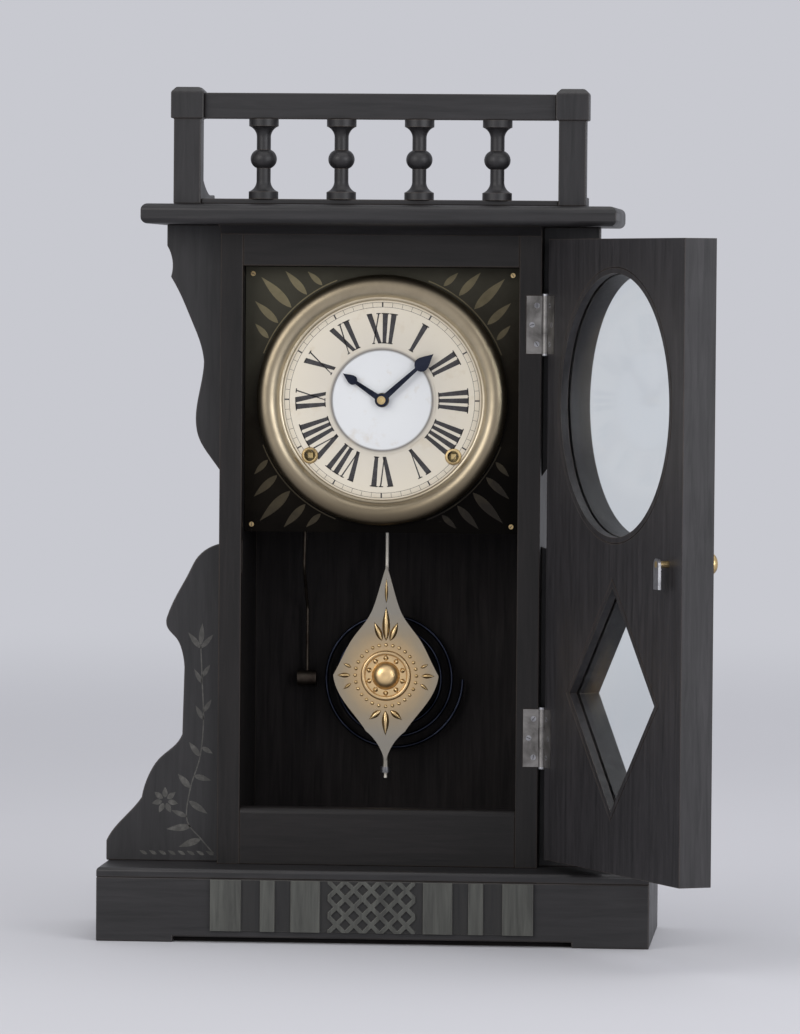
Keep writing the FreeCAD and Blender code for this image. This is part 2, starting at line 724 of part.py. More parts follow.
def make_frieze():
    """Ornament on the base front: end blocks, bars, plain panels and a lattice in the middle."""
    low = at.base_foot_height + at.frieze_sink
    high = low + at.frieze_height
    strip_front = base_front - at.frieze_plate
    relief_front = strip_front - at.frieze_relief
    pieces = [board("frieze_strip", (-case_half, case_half), (strip_front, base_front), (low, high))]
    for index, (inner_share, outer_share) in enumerate(FRIEZE_BLOCK_SHARES):
        inner = case_half * inner_share
        outer = case_half * outer_share
        for side, (left, right) in (("right", (inner, outer)), ("left", (-outer, -inner))):
            pieces.append(board("frieze_block_%s_%d" % (side, index), (left, right),
                                (relief_front, strip_front), (low, high)))
    lattice_half = case_half * LATTICE_SHARE
    count = at.count("lattice_bars")
    pitch = lattice_half * 2 / count
    length = at.frieze_height * 2
    half_diagonal = math.sqrt(0.5) / 2
    bars = []
    for index in range(-1, count + 1):
        middle = pitch * (index - (count - 1) / 2)
        for lean in (-1, 1):
            bar = doc.addObject("Part::Box", "lattice_bar")
            bind(bar, "Length", length)
            bind(bar, "Width", at.frieze_relief)
            bind(bar, "Height", at.frieze_bar)
            bar.Placement.Rotation = FreeCAD.Rotation(Y_AXIS, -lean * quarter_turn / 2)
            bind_place(bar, middle - (length - at.frieze_bar * lean) * half_diagonal, relief_front,
                       (low + high) / 2 - (length * lean + at.frieze_bar) * half_diagonal)
            bars.append(bar)
    window = board("lattice_window", (-lattice_half, lattice_half), (relief_front, strip_front),
                   (low, high))
    lattice = doc.addObject("Part::Common", "lattice")
    lattice.Base = fuse("lattice_bars_all", bars)
    lattice.Tool = window
    pieces.append(lattice)
    node(fuse("frieze", pieces), "base_frieze")


def make_case():
    """Sides, back and both front rails, with housings for the hinge leaves and the latch tongue."""
    sink = at.leaf_wall - at.leaf_proud
    left = board("case_left", (-case_half, -inner_half), (case_front, case_back),
                 (at.base_height, cornice_under))
    tongue_y = door_inner + at.tongue_stand
    half_tongue = at.tongue_width / 2 + at.keeper_play
    deep = case_half - at.knob_inset + at.tongue_length + at.keeper_play
    keeper = board("keeper", (-deep, at.overrun - inner_half),
                   (tongue_y - at.keeper_play, tongue_y + at.tongue_wall + at.keeper_play),
                   (knob_height - at.tongue_length - at.keeper_play,
                    knob_height + half_tongue))
    node(cut("case_left_cut", left, [keeper]), "case_side_left")
    right = board("case_right", (inner_half, case_half), (case_front, case_back),
                  (at.base_height, cornice_under))
    housings = []
    for name, height in (("upper", upper_hinge_height), ("lower", lower_hinge_height)):
        housings.append(board("leaf_housing_" + name, (hinge_x - at.leaf_width, case_half + at.overrun),
                              (case_front - at.overrun, case_front + sink),
                              (height - at.leaf_height / 2, height + at.leaf_height / 2)))
    node(cut("case_right_cut", right, housings), "case_side_right")
    back = board("case_back", (-inner_half, inner_half), (back_face, case_back),
                 (at.base_height, cornice_under))
    node(back, "case_back_board")
    rail_top = at.base_height + at.rail_height
    rail = board("case_rail", (-inner_half, inner_half), (case_front, case_front + at.rail_wall),
                 (at.base_height, rail_top))
    doc.recompute()
    front_edge = edges_where(
        rail.Shape,
        lambda middle, edge: middle.z > rail_top.value - sketch_tolerance
        and middle.y < case_front.value + sketch_tolerance)
    node(rounded("case_rail_rounded", rail, front_edge, at.rail_round), "case_bottom_rail")
    plate_top = dial_height + at.dial_plate_height / 2
    head = board("case_head", (-inner_half, inner_half), (case_front, case_front + at.rail_wall),
                 (plate_top + at.dial_play, cornice_under))
    node(head, "case_top_rail")


def make_cornice():
    """Cornice board with its rounded nose, and the cove under it."""
    half = at.cornice_width / 2
    plank = board("cornice", (-half, half), (cornice_front, cornice_back),
                  (cornice_under, cornice_top))
    doc.recompute()
    level = (cornice_under.value, cornice_top.value)
    nose = edges_where(
        plank.Shape,
        lambda middle, edge: min(abs(middle.z - z) for z in level) < sketch_tolerance
        and middle.y < cornice_back.value - sketch_tolerance)
    node(rounded("cornice_rounded", plank, nose, at.cornice_nose), "cornice_board")
    cove = doc.addObject("PartDesign::Body", "cove")
    front = case_front - at.cove_reach
    low = cornice_under - at.cove_height
    profile = outline(cove, "cove_profile", "YZ_Plane", [
        (case_front, cornice_under), (front, cornice_under),
        (case_front, low, [(case_front - at.cove_reach * COVE_SHARES[0],
                            low + at.cove_height * COVE_SHARES[1])])])
    pad(cove, "cove_run", profile, at.case_width)
    bind_place(cove, -case_half, 0, 0)
    node(cove, "cornice_cove")


def make_gallery():
    """Posts, rails, turned balusters and the side rails on the cornice."""
    top = cornice_top + at.gallery_height
    cap_low = top - at.top_rail_drop - at.top_rail_height
    middle_x = at.gallery_width / 2 - at.post_cap_side / 2
    middle_y = gallery_front + at.post_cap_side / 2
    cap_half = at.post_cap_side / 2
    half = at.post_side / 2
    posts = []
    for side in (-1, 1):
        name = "post_right" if side > 0 else "post_left"
        x = middle_x * side
        shaft = board(name + "_shaft", (x - half, x + half), (middle_y - half, middle_y + half),
                      (cornice_top, cap_low))
        cap = board(name + "_cap", (x - cap_half, x + cap_half),
                    (middle_y - cap_half, middle_y + cap_half), (cap_low, top))
        doc.recompute()
        rim = edges_where(cap.Shape, lambda middle, edge: middle.z > top.value - sketch_tolerance)
        bevel = doc.addObject("Part::Chamfer", name + "_bevel")
        bevel.Base = cap
        bevel.Edges = [(edge, at.post_cap_bevel.value, at.post_cap_bevel.value) for edge in rim]
        posts.append(fuse(name, [shaft, bevel]))
    node(group("posts", posts), "gallery_posts")
    rail_half = at.gallery_rail_depth / 2
    foot_top = cornice_top + at.foot_rail_height
    across = (middle_y - rail_half, middle_y + rail_half)
    low_rail = board("foot_rail", (-(middle_x - half), middle_x - half), across,
                     (cornice_top, foot_top))
    high_rail = board("top_rail", (-(middle_x - cap_half), middle_x - cap_half), across,
                      (cap_low, top - at.top_rail_drop))
    node(group("rails", [low_rail, high_rail]), "gallery_rails")
    height = cap_low - foot_top
    neck = at.baluster_neck
    flare = neck * BALUSTER_FLARE_SHARE
    collar = at.baluster_collar
    profile = [
        (0, 0), (collar, 0), (collar, height * BALUSTER_COLLAR_SHARE),
        (neck, height * BALUSTER_NECK_SHARE, [(flare, height * BALUSTER_HOLLOW_SHARE)]),
        (neck, height * BALUSTER_BEAD_SHARE),
        (neck, height * (1 - BALUSTER_BEAD_SHARE), [(at.baluster_ball, height / 2)]),
        (neck, height * (1 - BALUSTER_NECK_SHARE)),
        (collar, height * (1 - BALUSTER_COLLAR_SHARE), [(flare, height * (1 - BALUSTER_HOLLOW_SHARE))]),
        (collar, height), (0, height)]
    count = at.count("balusters")
    turned_pieces = []
    for index in range(count):
        x = at.baluster_pitch * (index - (count - 1) / 2)
        turned_pieces.append(turned("baluster_%d" % index, profile, (x, middle_y, foot_top)))
    node(group("balusters", turned_pieces), "gallery_balusters")
    start = gallery_front + at.post_cap_side
    end = start + at.return_length
    reach_share, rise_share = RETURN_MIDDLE_SHARES
    returns = []
    for side in (-1, 1):
        body = doc.addObject("PartDesign::Body", "return_right" if side > 0 else "return_left")
        profile = outline(body, body.Name + "_profile", "YZ_Plane", [
            (start, cornice_top), (end, cornice_top), (end, cornice_top + at.return_tail),
            (start, cornice_top + at.return_height, [
                (start + at.return_length * reach_share, cornice_top + at.return_height * rise_share)])])
        pad(body, body.Name + "_run", profile, at.return_wall)
        bind_place(body, middle_x * side - at.return_wall / 2, 0, 0)
        returns.append(body)
    node(group("returns", returns), "gallery_side_rails")


def make_wings():
    """Scroll-cut boards beside the case, an upper and a lower one on each side."""
    upper_low = cornice_under - at.upper_wing_height
    lower_reach = (at.base_width - at.case_width) / 2
    lower_height = at.case_height - at.upper_wing_height - at.wing_gap

    def upper(shares):
        return share_points(shares, case_half, at.upper_wing_reach, upper_low, at.upper_wing_height)

    def lower(shares):
        return share_points(shares, case_half, lower_reach, at.base_height, lower_height)

    upper_side = [
        (case_half, upper_low),
        upper([UPPER_WING_WAIST_SHARES])[0] + (upper(UPPER_WING_BULGE_SHARES),),
        upper([UPPER_WING_LOBE_SHARES])[0] + (upper(UPPER_WING_SWEEP_SHARES),),
        upper([UPPER_WING_LIP_SHARES])[0] + (upper(UPPER_WING_HOLLOW_SHARES),),
        (case_half + at.upper_wing_reach, cornice_under),
        (case_half, cornice_under)]
    lower_side = [
        (case_half, at.base_height + lower_height),
        lower([LOWER_WING_TIP_SHARES])[0] + (lower(LOWER_WING_HEAD_SHARES),),
        lower([LOWER_WING_NECK_SHARES])[0] + (lower(LOWER_WING_HOOK_SHARES),),
        lower([LOWER_WING_STEM_SHARES])[0],
        lower([LOWER_WING_STEP_SHARES])[0] + (lower(LOWER_WING_KNEE_SHARES),),
        lower([LOWER_WING_HEEL_SHARES])[0] + (lower(LOWER_WING_FOOT_SHARES),),
        (case_half + lower_reach, at.base_height),
        (case_half, at.base_height)]
    for name, corners in (("upper_wing", upper_side), ("lower_wing", lower_side)):
        pair = [
            slab(name + "_right", corners, wing_front, at.wing_wall),
            slab(name + "_left", mirrored(corners), wing_front, at.wing_wall)]
        node(group(name + "_pair", pair), name + "s")


def diamond(width, height):
    """The corners of a window that stands on its corner, in the door."""
    middle = (diamond_low + diamond_high) / 2
    return [(0, middle - height / 2), (width / 2, middle), (0, middle + height / 2),
            (-(width / 2), middle)]


def make_door():
    """The door board, its two panes, their beads and its half of the hinges."""
    rebate = at.rebate_width
    mitre = rebate * (2 * MITRE_SHARE)
    play = at.glass_play
    play_mitre = play * (2 * MITRE_SHARE)
    wide = at.diamond_width + mitre
    window_height = diamond_high - diamond_low
    tall = window_height + mitre
    body = slab("door", [
        (-case_half, door_bottom), (case_half, door_bottom), (case_half, door_top),
        (-case_half, door_top)], door_outer, at.door_wall)
    through = at.door_wall + at.overrun
    knob_x = at.knob_inset - case_half
    rounds = circles(body, "door_rounds", "XZ_Plane", [
        (0, dial_height, at.round_window),
        (knob_x, knob_height, at.spindle_radius + at.running_play)])
    pocket(body, "door_round_window", rounds, through, True)
    shape = outline(body, "door_diamond", "XZ_Plane", diamond(at.diamond_width, window_height))
    pocket(body, "door_diamond_window", shape, through, True)
    shape = circles(body, "door_round_rebate_edge", "XZ_Plane", [
        (0, dial_height, at.round_window + rebate)])
    pocket(body, "door_round_rebate", shape, at.rebate_depth, True)
    shape = outline(body, "door_diamond_rebate_edge", "XZ_Plane", diamond(wide, tall))
    pocket(body, "door_diamond_rebate", shape, at.rebate_depth, True)
    for name, height in (("upper", upper_hinge_height), ("lower", lower_hinge_height)):
        low = height - at.leaf_height / 2
        high = height + at.leaf_height / 2
        leaf_end = hinge_x - at.leaf_width
        shape = outline(body, "door_leaf_edge_" + name, "XZ_Plane", [
            (leaf_end, low), (case_half, low), (case_half, high), (leaf_end, high)])
        pocket(body, "door_leaf_housing_" + name, shape, at.leaf_wall - at.leaf_proud, True)
    on_door("door_frame", [body])

    pane_front = door_inner - at.rebate_depth
    pane_back = pane_front + at.glass_wall
    bead_wall = at.rebate_depth - at.glass_wall
    pane_radius = at.round_window + rebate - play
    pane_wide = wide - play_mitre
    pane_tall = tall - play_mitre
    round_pane = rod("round_pane", pane_radius, at.glass_wall,
                     (0, pane_front, dial_height), Y_AXIS)
    diamond_pane = slab("diamond_pane", diamond(pane_wide, pane_tall), pane_front, at.glass_wall)
    on_door("door_glass_panes", [round_pane, diamond_pane])
    bead_disc = rod("bead_disc", pane_radius, bead_wall, (0, pane_back, dial_height), Y_AXIS)
    bead_hole = rod("bead_hole", pane_radius - at.bead_width, bead_wall + at.overrun * 2,
                    (0, pane_back - at.overrun, dial_height), Y_AXIS)
    bead_mitre = at.bead_width * (2 * MITRE_SHARE)
    bead_plate = slab("bead_plate", diamond(pane_wide, pane_tall), pane_back, bead_wall)
    bead_gap = slab("bead_gap", diamond(pane_wide - bead_mitre, pane_tall - bead_mitre),
                    pane_back - at.overrun, bead_wall + at.overrun * 2)
    on_door("door_glass_beads", [
        cut("round_bead", bead_disc, [bead_hole]), cut("diamond_bead", bead_plate, [bead_gap])])


def knuckle(name, low, high):
    """One of the barrels of a hinge, round the pin."""
    return rod(name, at.knuckle_radius, high - low, (hinge_x, hinge_y, low))


def make_hinges():
    """Two butt hinges: leaves let into the case and the door, and the pins they turn on."""
    third = at.leaf_height / 3
    case_leaves = []
    door_leaves = []
    pins = []
    for name, height in (("upper", upper_hinge_height), ("lower", lower_hinge_height)):
        low = height - at.leaf_height / 2
        high = height + at.leaf_height / 2
        middle_low = low + third
        middle_high = high - third
        bore = rod(name + "_bore", at.pin_radius + at.running_play, at.leaf_height + at.overrun * 2,
                   (hinge_x, hinge_y, low - at.overrun))
        leaf_x = (hinge_x - at.leaf_width, hinge_x)
        near = hinge_x - at.knuckle_radius - at.knuckle_play
        past = hinge_x + at.knuckle_radius + at.overrun
        around = (hinge_y - at.knuckle_radius - at.overrun, hinge_y + at.knuckle_radius + at.overrun)
        case_y = case_front - at.leaf_proud
        plate = board(name + "_case_plate", leaf_x, (case_y, case_y + at.leaf_wall), (low, high))
        gap = board(name + "_case_gap", (near, past), around,
                    (middle_low - at.knuckle_play, middle_high + at.knuckle_play))
        leaf = fuse(name + "_case_leaf", [plate, knuckle(name + "_barrel", low, high)])
        case_leaves.append(cut(name + "_case_leaf_cut", leaf, [gap, bore]))
        door_y = door_inner + at.leaf_proud - at.leaf_wall
        plate = board(name + "_door_plate", leaf_x, (door_y, door_y + at.leaf_wall), (low, high))
        gaps = [
            board(name + "_door_gap_low", (near, past), around, (low - at.overrun, middle_low)),
            board(name + "_door_gap_high", (near, past), around, (middle_high, high + at.overrun))]
        plate_cut = cut(name + "_door_plate_cut", plate, gaps)
        leaf = fuse(name + "_door_leaf", [
            plate_cut, knuckle(name + "_door_knuckle", middle_low, middle_high)])
        door_leaves.append(cut(name + "_door_leaf_cut", leaf, [bore]))
        shank = rod(name + "_shank", at.pin_radius, at.leaf_height + at.pin_head * 2,
                    (hinge_x, hinge_y, low - at.pin_head))
        heads = [
            rod(name + "_head_low", at.knuckle_radius, at.pin_head, (hinge_x, hinge_y, low - at.pin_head)),
            rod(name + "_head_high", at.knuckle_radius, at.pin_head, (hinge_x, hinge_y, high))]
        pins.append(fuse(name + "_pin", [shank] + heads))
    node(group("case_leaves", case_leaves), "hinge_case_leaves")
    on_door("hinge_door_leaves", door_leaves)
    node(group("hinge_pins_both", pins), "hinge_pins")


def make_latch():
    """A knob on the door's face and the tongue that its spindle turns behind the door."""
    x = at.knob_inset - case_half
    behind = at.door_wall + at.tongue_stand + at.tongue_wall
    rose = at.knob_radius * KNOB_ROSE_SHARE
    neck = at.spindle_radius * KNOB_NECK_SHARE
    reach = at.knob_reach
    play = at.knuckle_play
    rose_top, neck_low, neck_high, bulge = KNOB_STEP_SHARES
    knob = turned_forward("knob", [
        (0, -behind), (at.spindle_radius, -behind), (at.spindle_radius, play),
        (rose, play), (rose, reach * rose_top), (neck, reach * neck_low), (neck, reach * neck_high),
        (at.spindle_radius / 2, reach, [(at.knob_radius, reach * bulge)]), (0, reach)],
        x, door_outer, knob_height)
    on_door("door_knob", [knob])
    half = at.tongue_width / 2
    tongue = slab("tongue", [
        (x - half, knob_height - at.tongue_length), (x + half, knob_height - at.tongue_length),
        (x + half, knob_height), (x - half, knob_height, [(x, knob_height + half)])],
        door_inner + at.tongue_stand, at.tongue_wall)
    hole = circles(tongue, "tongue_hole", "XZ_Plane", [(x, knob_height, at.spindle_radius)])
    pocket(tongue, "tongue_bore", hole, at.tongue_wall, True)
    on_door("latch_tongue", [tongue])


def make_dial():
    """Square dial plate, round face, bezel and the grommets of the two winding holes."""
    half = inner_half - at.dial_play
    rise = at.dial_plate_height / 2
    winding_z = dial_height - at.winding_drop
    holes = [
        (-winding_x, winding_z, at.grommet_bore), (winding_x, winding_z, at.grommet_bore),
        (0, dial_height, hour_pipe_radius + at.hand_spacing)]
    plate = slab("dial_plate_body", [
        (-half, dial_height - rise), (half, dial_height - rise),
        (half, dial_height + rise), (-half, dial_height + rise)],
        dial_front, at.dial_plate_wall)
    pocket(plate, "dial_plate_holes", circles(plate, "dial_plate_marks", "XZ_Plane", holes),
           at.dial_plate_wall, True)
    node(plate, "dial_plate")
    face = doc.addObject("PartDesign::Body", "dial_face_body")
    pad(face, "dial_disc", circles(face, "dial_edge", "XZ_Plane", [(0, dial_height, at.dial_radius)]),
        at.dial_wall)
    ring_inner = at.dial_ring_radius - at.dial_ring_width / 2
    ring = circles(face, "dial_ring_edge", "XZ_Plane", [
        (0, dial_height, ring_inner), (0, dial_height, ring_inner + at.dial_ring_width)])
    pad(face, "dial_ring", ring, at.dial_wall * 2)
    bind_place(face, 0, dial_front, 0)
    pocket(face, "dial_face_holes", circles(face, "dial_face_marks", "XZ_Plane", holes),
           at.dial_wall * 2, True)
    node(face, "dial_face")
    width = at.bezel_outer - at.bezel_inner
    crest_share, lip_share = BEZEL_SHARES
    bezel = turned_forward("bezel", [
        (at.bezel_inner, 0), (at.bezel_outer, 0),
        (at.bezel_outer, at.bezel_rise * lip_share),
        (at.bezel_inner, at.bezel_rise * lip_share, [
            (at.bezel_inner + width * crest_share, at.bezel_rise)])], 0, dial_front, dial_height)
    node(bezel, "dial_bezel")
    grommets = []
    for side in (-1, 1):
        name = "grommet_right" if side > 0 else "grommet_left"
        grommets.append(turned_forward(name, [
            (at.grommet_bore, 0), (at.grommet_outer, 0),
            (at.grommet_bore, at.grommet_rise, [
                (at.grommet_outer - at.grommet_rise * GROMMET_SHARE,
                 at.grommet_rise * (1 - GROMMET_SHARE))])],
            winding_x * side, dial_front - at.dial_wall, winding_z))
    node(group("grommets", grommets), "winding_grommets")


def make_hand(name, length, back, angle, bore):
    """A spade hand, drawn upright and turned clockwise to its angle."""
    body = doc.addObject("PartDesign::Body", name)
    spade_z = length * SPADE_SHARE
    spade = at.hand_spade * (length / at.minute_hand_length)
    blade = at.hand_blade
    boss = circles(body, name + "_boss_edge", "XZ_Plane", [(0, 0, at.hand_boss)])
    pad(body, name + "_boss", boss, at.hand_wall)
    strip = outline(body, name + "_blade_edge", "XZ_Plane", [
        (-blade, 0), (blade, 0), (blade / 2, spade_z), (-(blade / 2), spade_z)])
    pad(body, name + "_blade", strip, at.hand_wall)
    waist = (spade_z + length) / 2
    leaf = outline(body, name + "_spade_edge", "XZ_Plane", [
        (0, spade_z - spade, [(-(blade / 2), waist), (-spade, spade_z)]),
        (0, length, [(spade, spade_z), (blade / 2, waist)])])
    pad(body, name + "_spade", leaf, at.hand_wall)
    hole = circles(body, name + "_hole_edge", "XZ_Plane", [(0, 0, bore)])
    pocket(body, name + "_hole", hole, at.hand_wall, True)
    body.Placement.Rotation = FreeCAD.Rotation(Y_AXIS, angle.value)
    bind(body, "Placement.Rotation.Angle", angle)
    bind_place(body, 0, back, dial_height)
    return node(body, name)


def spot(x, y, z):
    """A place whose x and z count from the dial centre."""
    return FreeCAD.Vector(float(x), float(y), dial_height.value + float(z))


def toward(place, length, way):
    """The place at a length from another, in a direction given in degrees from x to z."""
    angle = math.radians(float(way))
    return (place[0] + float(length) * math.cos(angle), place[1] + float(length) * math.sin(angle))


def meeting(first, first_radius, second, second_radius):
    """Where two circles meet, on the right of the way from the first to the second."""
    way = (second[0] - first[0], second[1] - first[1])
    apart = math.hypot(*way)
    along = (first_radius ** 2 - second_radius ** 2 + apart ** 2) / (2 * apart)
    aside = math.sqrt(first_radius ** 2 - along ** 2)
    return (first[0] + (way[0] * along + way[1] * aside) / apart,
            first[1] + (way[1] * along - way[0] * aside) / apart)


def way_between(first, second):
    """Direction from one arbor to another, in radians."""
    return math.atan2(second[1] - first[1], second[0] - first[0])


def pitch_radius(teeth, module):
    """Radius at which the teeth of a wheel meet those of the next."""
    return teeth * float(module) / 2


def tooth_ring(teeth, module, phase):
    """The corners of a toothed wheel's edge, one straight-sided tooth after another."""
    pitch = pitch_radius(teeth, module)
    tip = pitch + ADDENDUM_SHARE * float(module)
    root = pitch - DEDENDUM_SHARE * float(module)
    step = 2 * math.pi / teeth
    corners = []
    for index in range(teeth):
        middle = phase + index * step
        for radius, share in ((root, -ROOT_WIDTH_SHARE), (tip, -TIP_WIDTH_SHARE),
                              (tip, TIP_WIDTH_SHARE), (root, ROOT_WIDTH_SHARE)):
            angle = middle + share * step / 2
            corners.append((radius * math.cos(angle), radius * math.sin(angle)))
    return corners


def meshed_phase(way, phase, teeth, other_teeth):
    """The phase that puts a gap of the second wheel over a tooth of the first."""
    share = (way - phase) * teeth / (2 * math.pi) % 1
    return way + math.pi - (0.5 - share) * 2 * math.pi / other_teeth


def polygon_wire(corners):
    """A closed wire through points."""
    points = [FreeCAD.Vector(x, 0, z) for x, z in corners]
    return Part.makePolygon(points + points[:1])


def plate_of(corners, holes, wall):
    """A flat solid with openings, standing in the plane of the plates."""
    face = Part.Face([polygon_wire(corners)] + [polygon_wire(hole) for hole in holes])
    face.validate()
    return face.extrude(Y_AXIS * float(wall))


def crossing_openings(root):
    """The openings between the arms of a wheel."""
    count = at.count("crossings")
    sector = 2 * math.pi / count
    outer = root - at.rim_width.value
    inner = at.hub_radius.value
    arm = at.arm_width.value / 2
    openings = []
    for index in range(count):
        start = index * sector + math.asin(arm / outer)
        end = (index + 1) * sector - math.asin(arm / outer)
        turn = (index + 0.5) * sector
        corner = arm / math.sin(sector / 2)
        near = max(inner, corner)
        opening = [(near * math.cos(turn), near * math.sin(turn))]
        for share in (0, 1 / 3, 2 / 3, 1):
            angle = start + (end - start) * share
            opening.append((outer * math.cos(angle), outer * math.sin(angle)))
        openings.append(opening)
    return openings


def wheel(place, teeth, module, phase, y, wall):
    """A flat toothed wheel with openings between its spokes."""
    root = pitch_radius(teeth, module) - DEDENDUM_SHARE * float(module)
    solid = plate_of(tooth_ring(teeth, module, phase), crossing_openings(root), wall)
    solid.translate(spot(place[0], y, place[1]))
    return solid


def pinion(place, teeth, module, phase, driver_y, driver_wall):
    """A pinion as long as the wheel that drives it, and a little longer on each side."""
    length = driver_wall + at.pinion_overlap * 2
    solid = plate_of(tooth_ring(teeth, module, phase), [], length)
    solid.translate(spot(place[0], driver_y - at.pinion_overlap, place[1]))
    return solid


def shaft(place, radius, start, end):
    """A round bar along y between two places."""
    return Part.makeCylinder(float(radius), float(as_size(end) - start),
                             spot(place[0], start, place[1]), Y_AXIS)


def bar(first, second, width, y, wall):
    """A flat bar from one place to another."""
    way = way_between(first, second)
    side = float(width) / 2
    aside = (-math.sin(way) * side, math.cos(way) * side)
    corners = [
        (first[0] + aside[0], first[1] + aside[1]), (second[0] + aside[0], second[1] + aside[1]),
        (second[0] - aside[0], second[1] - aside[1]), (first[0] - aside[0], first[1] - aside[1])]
    solid = plate_of(corners, [], wall)
    solid.translate(spot(0, y, 0))
    return solid


def strut(start, end, radius):
    """A round bar between two places in space."""
    way = end - start
    return Part.makeCylinder(float(radius), way.Length, start, way)


def bent_wire(places, radius, bend):
    """A round wire through places in space, with its corners bent to a radius."""
    edges = []
    start = places[0]
    for index in range(1, len(places) - 1):
        corner = places[index]
        back = (places[index - 1] - corner).normalize()
        on = (places[index + 1] - corner).normalize()
        half = back.getAngle(on) / 2
        reach = bend / math.tan(half)
        middle = (back + on).normalize()
        first = corner + back * reach
        last = corner + on * reach
        through = corner + middle * (bend / math.sin(half) - bend)
        edges.append(Part.LineSegment(start, first).toShape())
        edges.append(Part.Arc(first, through, last).toShape())
        start = last
    edges.append(Part.LineSegment(start, places[-1]).toShape())
    ring = Part.Circle(places[0], places[1] - places[0], float(radius)).toShape()
    return Part.Wire(edges).makePipeShell([Part.Wire([ring])], True, False)


def one_solid(name, label, pieces):
    """Joins shapes to one sub-part."""
    return node(made(name, pieces[0].fuse(pieces[1:])), label)


# The arbors' places, from the dial centre, and the phases of the meshing teeth
great_reach = pitch_radius(at.count("great_teeth") + at.count("pinion_teeth"), at.great_module)
second_reach = pitch_radius(at.count("second_teeth") + at.count("pinion_teeth"), at.great_module)
centre_reach = pitch_radius(at.count("centre_teeth") + at.count("pinion_teeth"), at.train_module)
third_reach = pitch_radius(at.count("third_teeth") + at.count("pinion_teeth"), at.train_module)
strike_reach = pitch_radius(at.count("strike_second_teeth") + at.count("pinion_teeth"),
                            at.train_module)
warning_reach = pitch_radius(at.count("warning_teeth") + at.count("pinion_teeth"), at.train_module)
motion_reach = pitch_radius(at.count("cannon_teeth") + at.count("minute_teeth"), at.motion_module)

time_great_place = (winding_x.value, -at.winding_drop.value)
strike_great_place = (-time_great_place[0], time_great_place[1])
centre_place = (0, 0)
escape_place = (0, at.escape_rise.value)
time_second_place = meeting(centre_place, second_reach, time_great_place, great_reach)
third_place = meeting(centre_place, centre_reach, escape_place, third_reach)
pallet_reach = at.escape_radius.value * math.sqrt(2)
verge_place = (0, at.escape_rise.value + pallet_reach)
strike_second_place = toward(strike_great_place, great_reach, at.strike_second_way)
pin_place = toward(strike_second_place, strike_reach, at.pin_wheel_way)
warning_place = toward(pin_place, third_reach, at.warning_way)
fly_place = toward(warning_place, warning_reach, at.fly_way)
minute_place = toward(centre_place, motion_reach, at.minute_wheel_way)
hammer_place = (at.hammer_arbor_inset.value - at.plate_width.value / 2, at.hammer_arbor_rise.value)
pillar_side = at.plate_width.value / 2 - at.pillar_inset.value
pillar_places = [
    (side * pillar_side, rise)
    for side in (-1, 1)
    for rise in (at.plate_top.value - at.pillar_inset.value,
                 at.pillar_inset.value - at.plate_bottom.value)]

second_y = plate_inner + at.second_level
great_y = plate_inner + at.great_level
pin_y = plate_inner + at.pin_level
centre_y = plate_inner + at.centre_level
third_y = plate_inner + at.third_level
escape_y = plate_inner + at.escape_level
mainspring_y = plate_inner + at.mainspring_level
minute_y = plate_front - at.minute_level - at.wheel_wall
hour_y = plate_front - at.hour_level - at.wheel_wall
crutch_y = rear_plate_back + at.crutch_stand


def between_plates(place, radius):
    """An arbor with a pivot at each end, in the plates' holes."""
    body = shaft(place, radius, plate_inner + at.end_play, rear_plate_inner - at.end_play)
    return [body, shaft(place, at.pivot_radius, plate_front, rear_plate_back)]


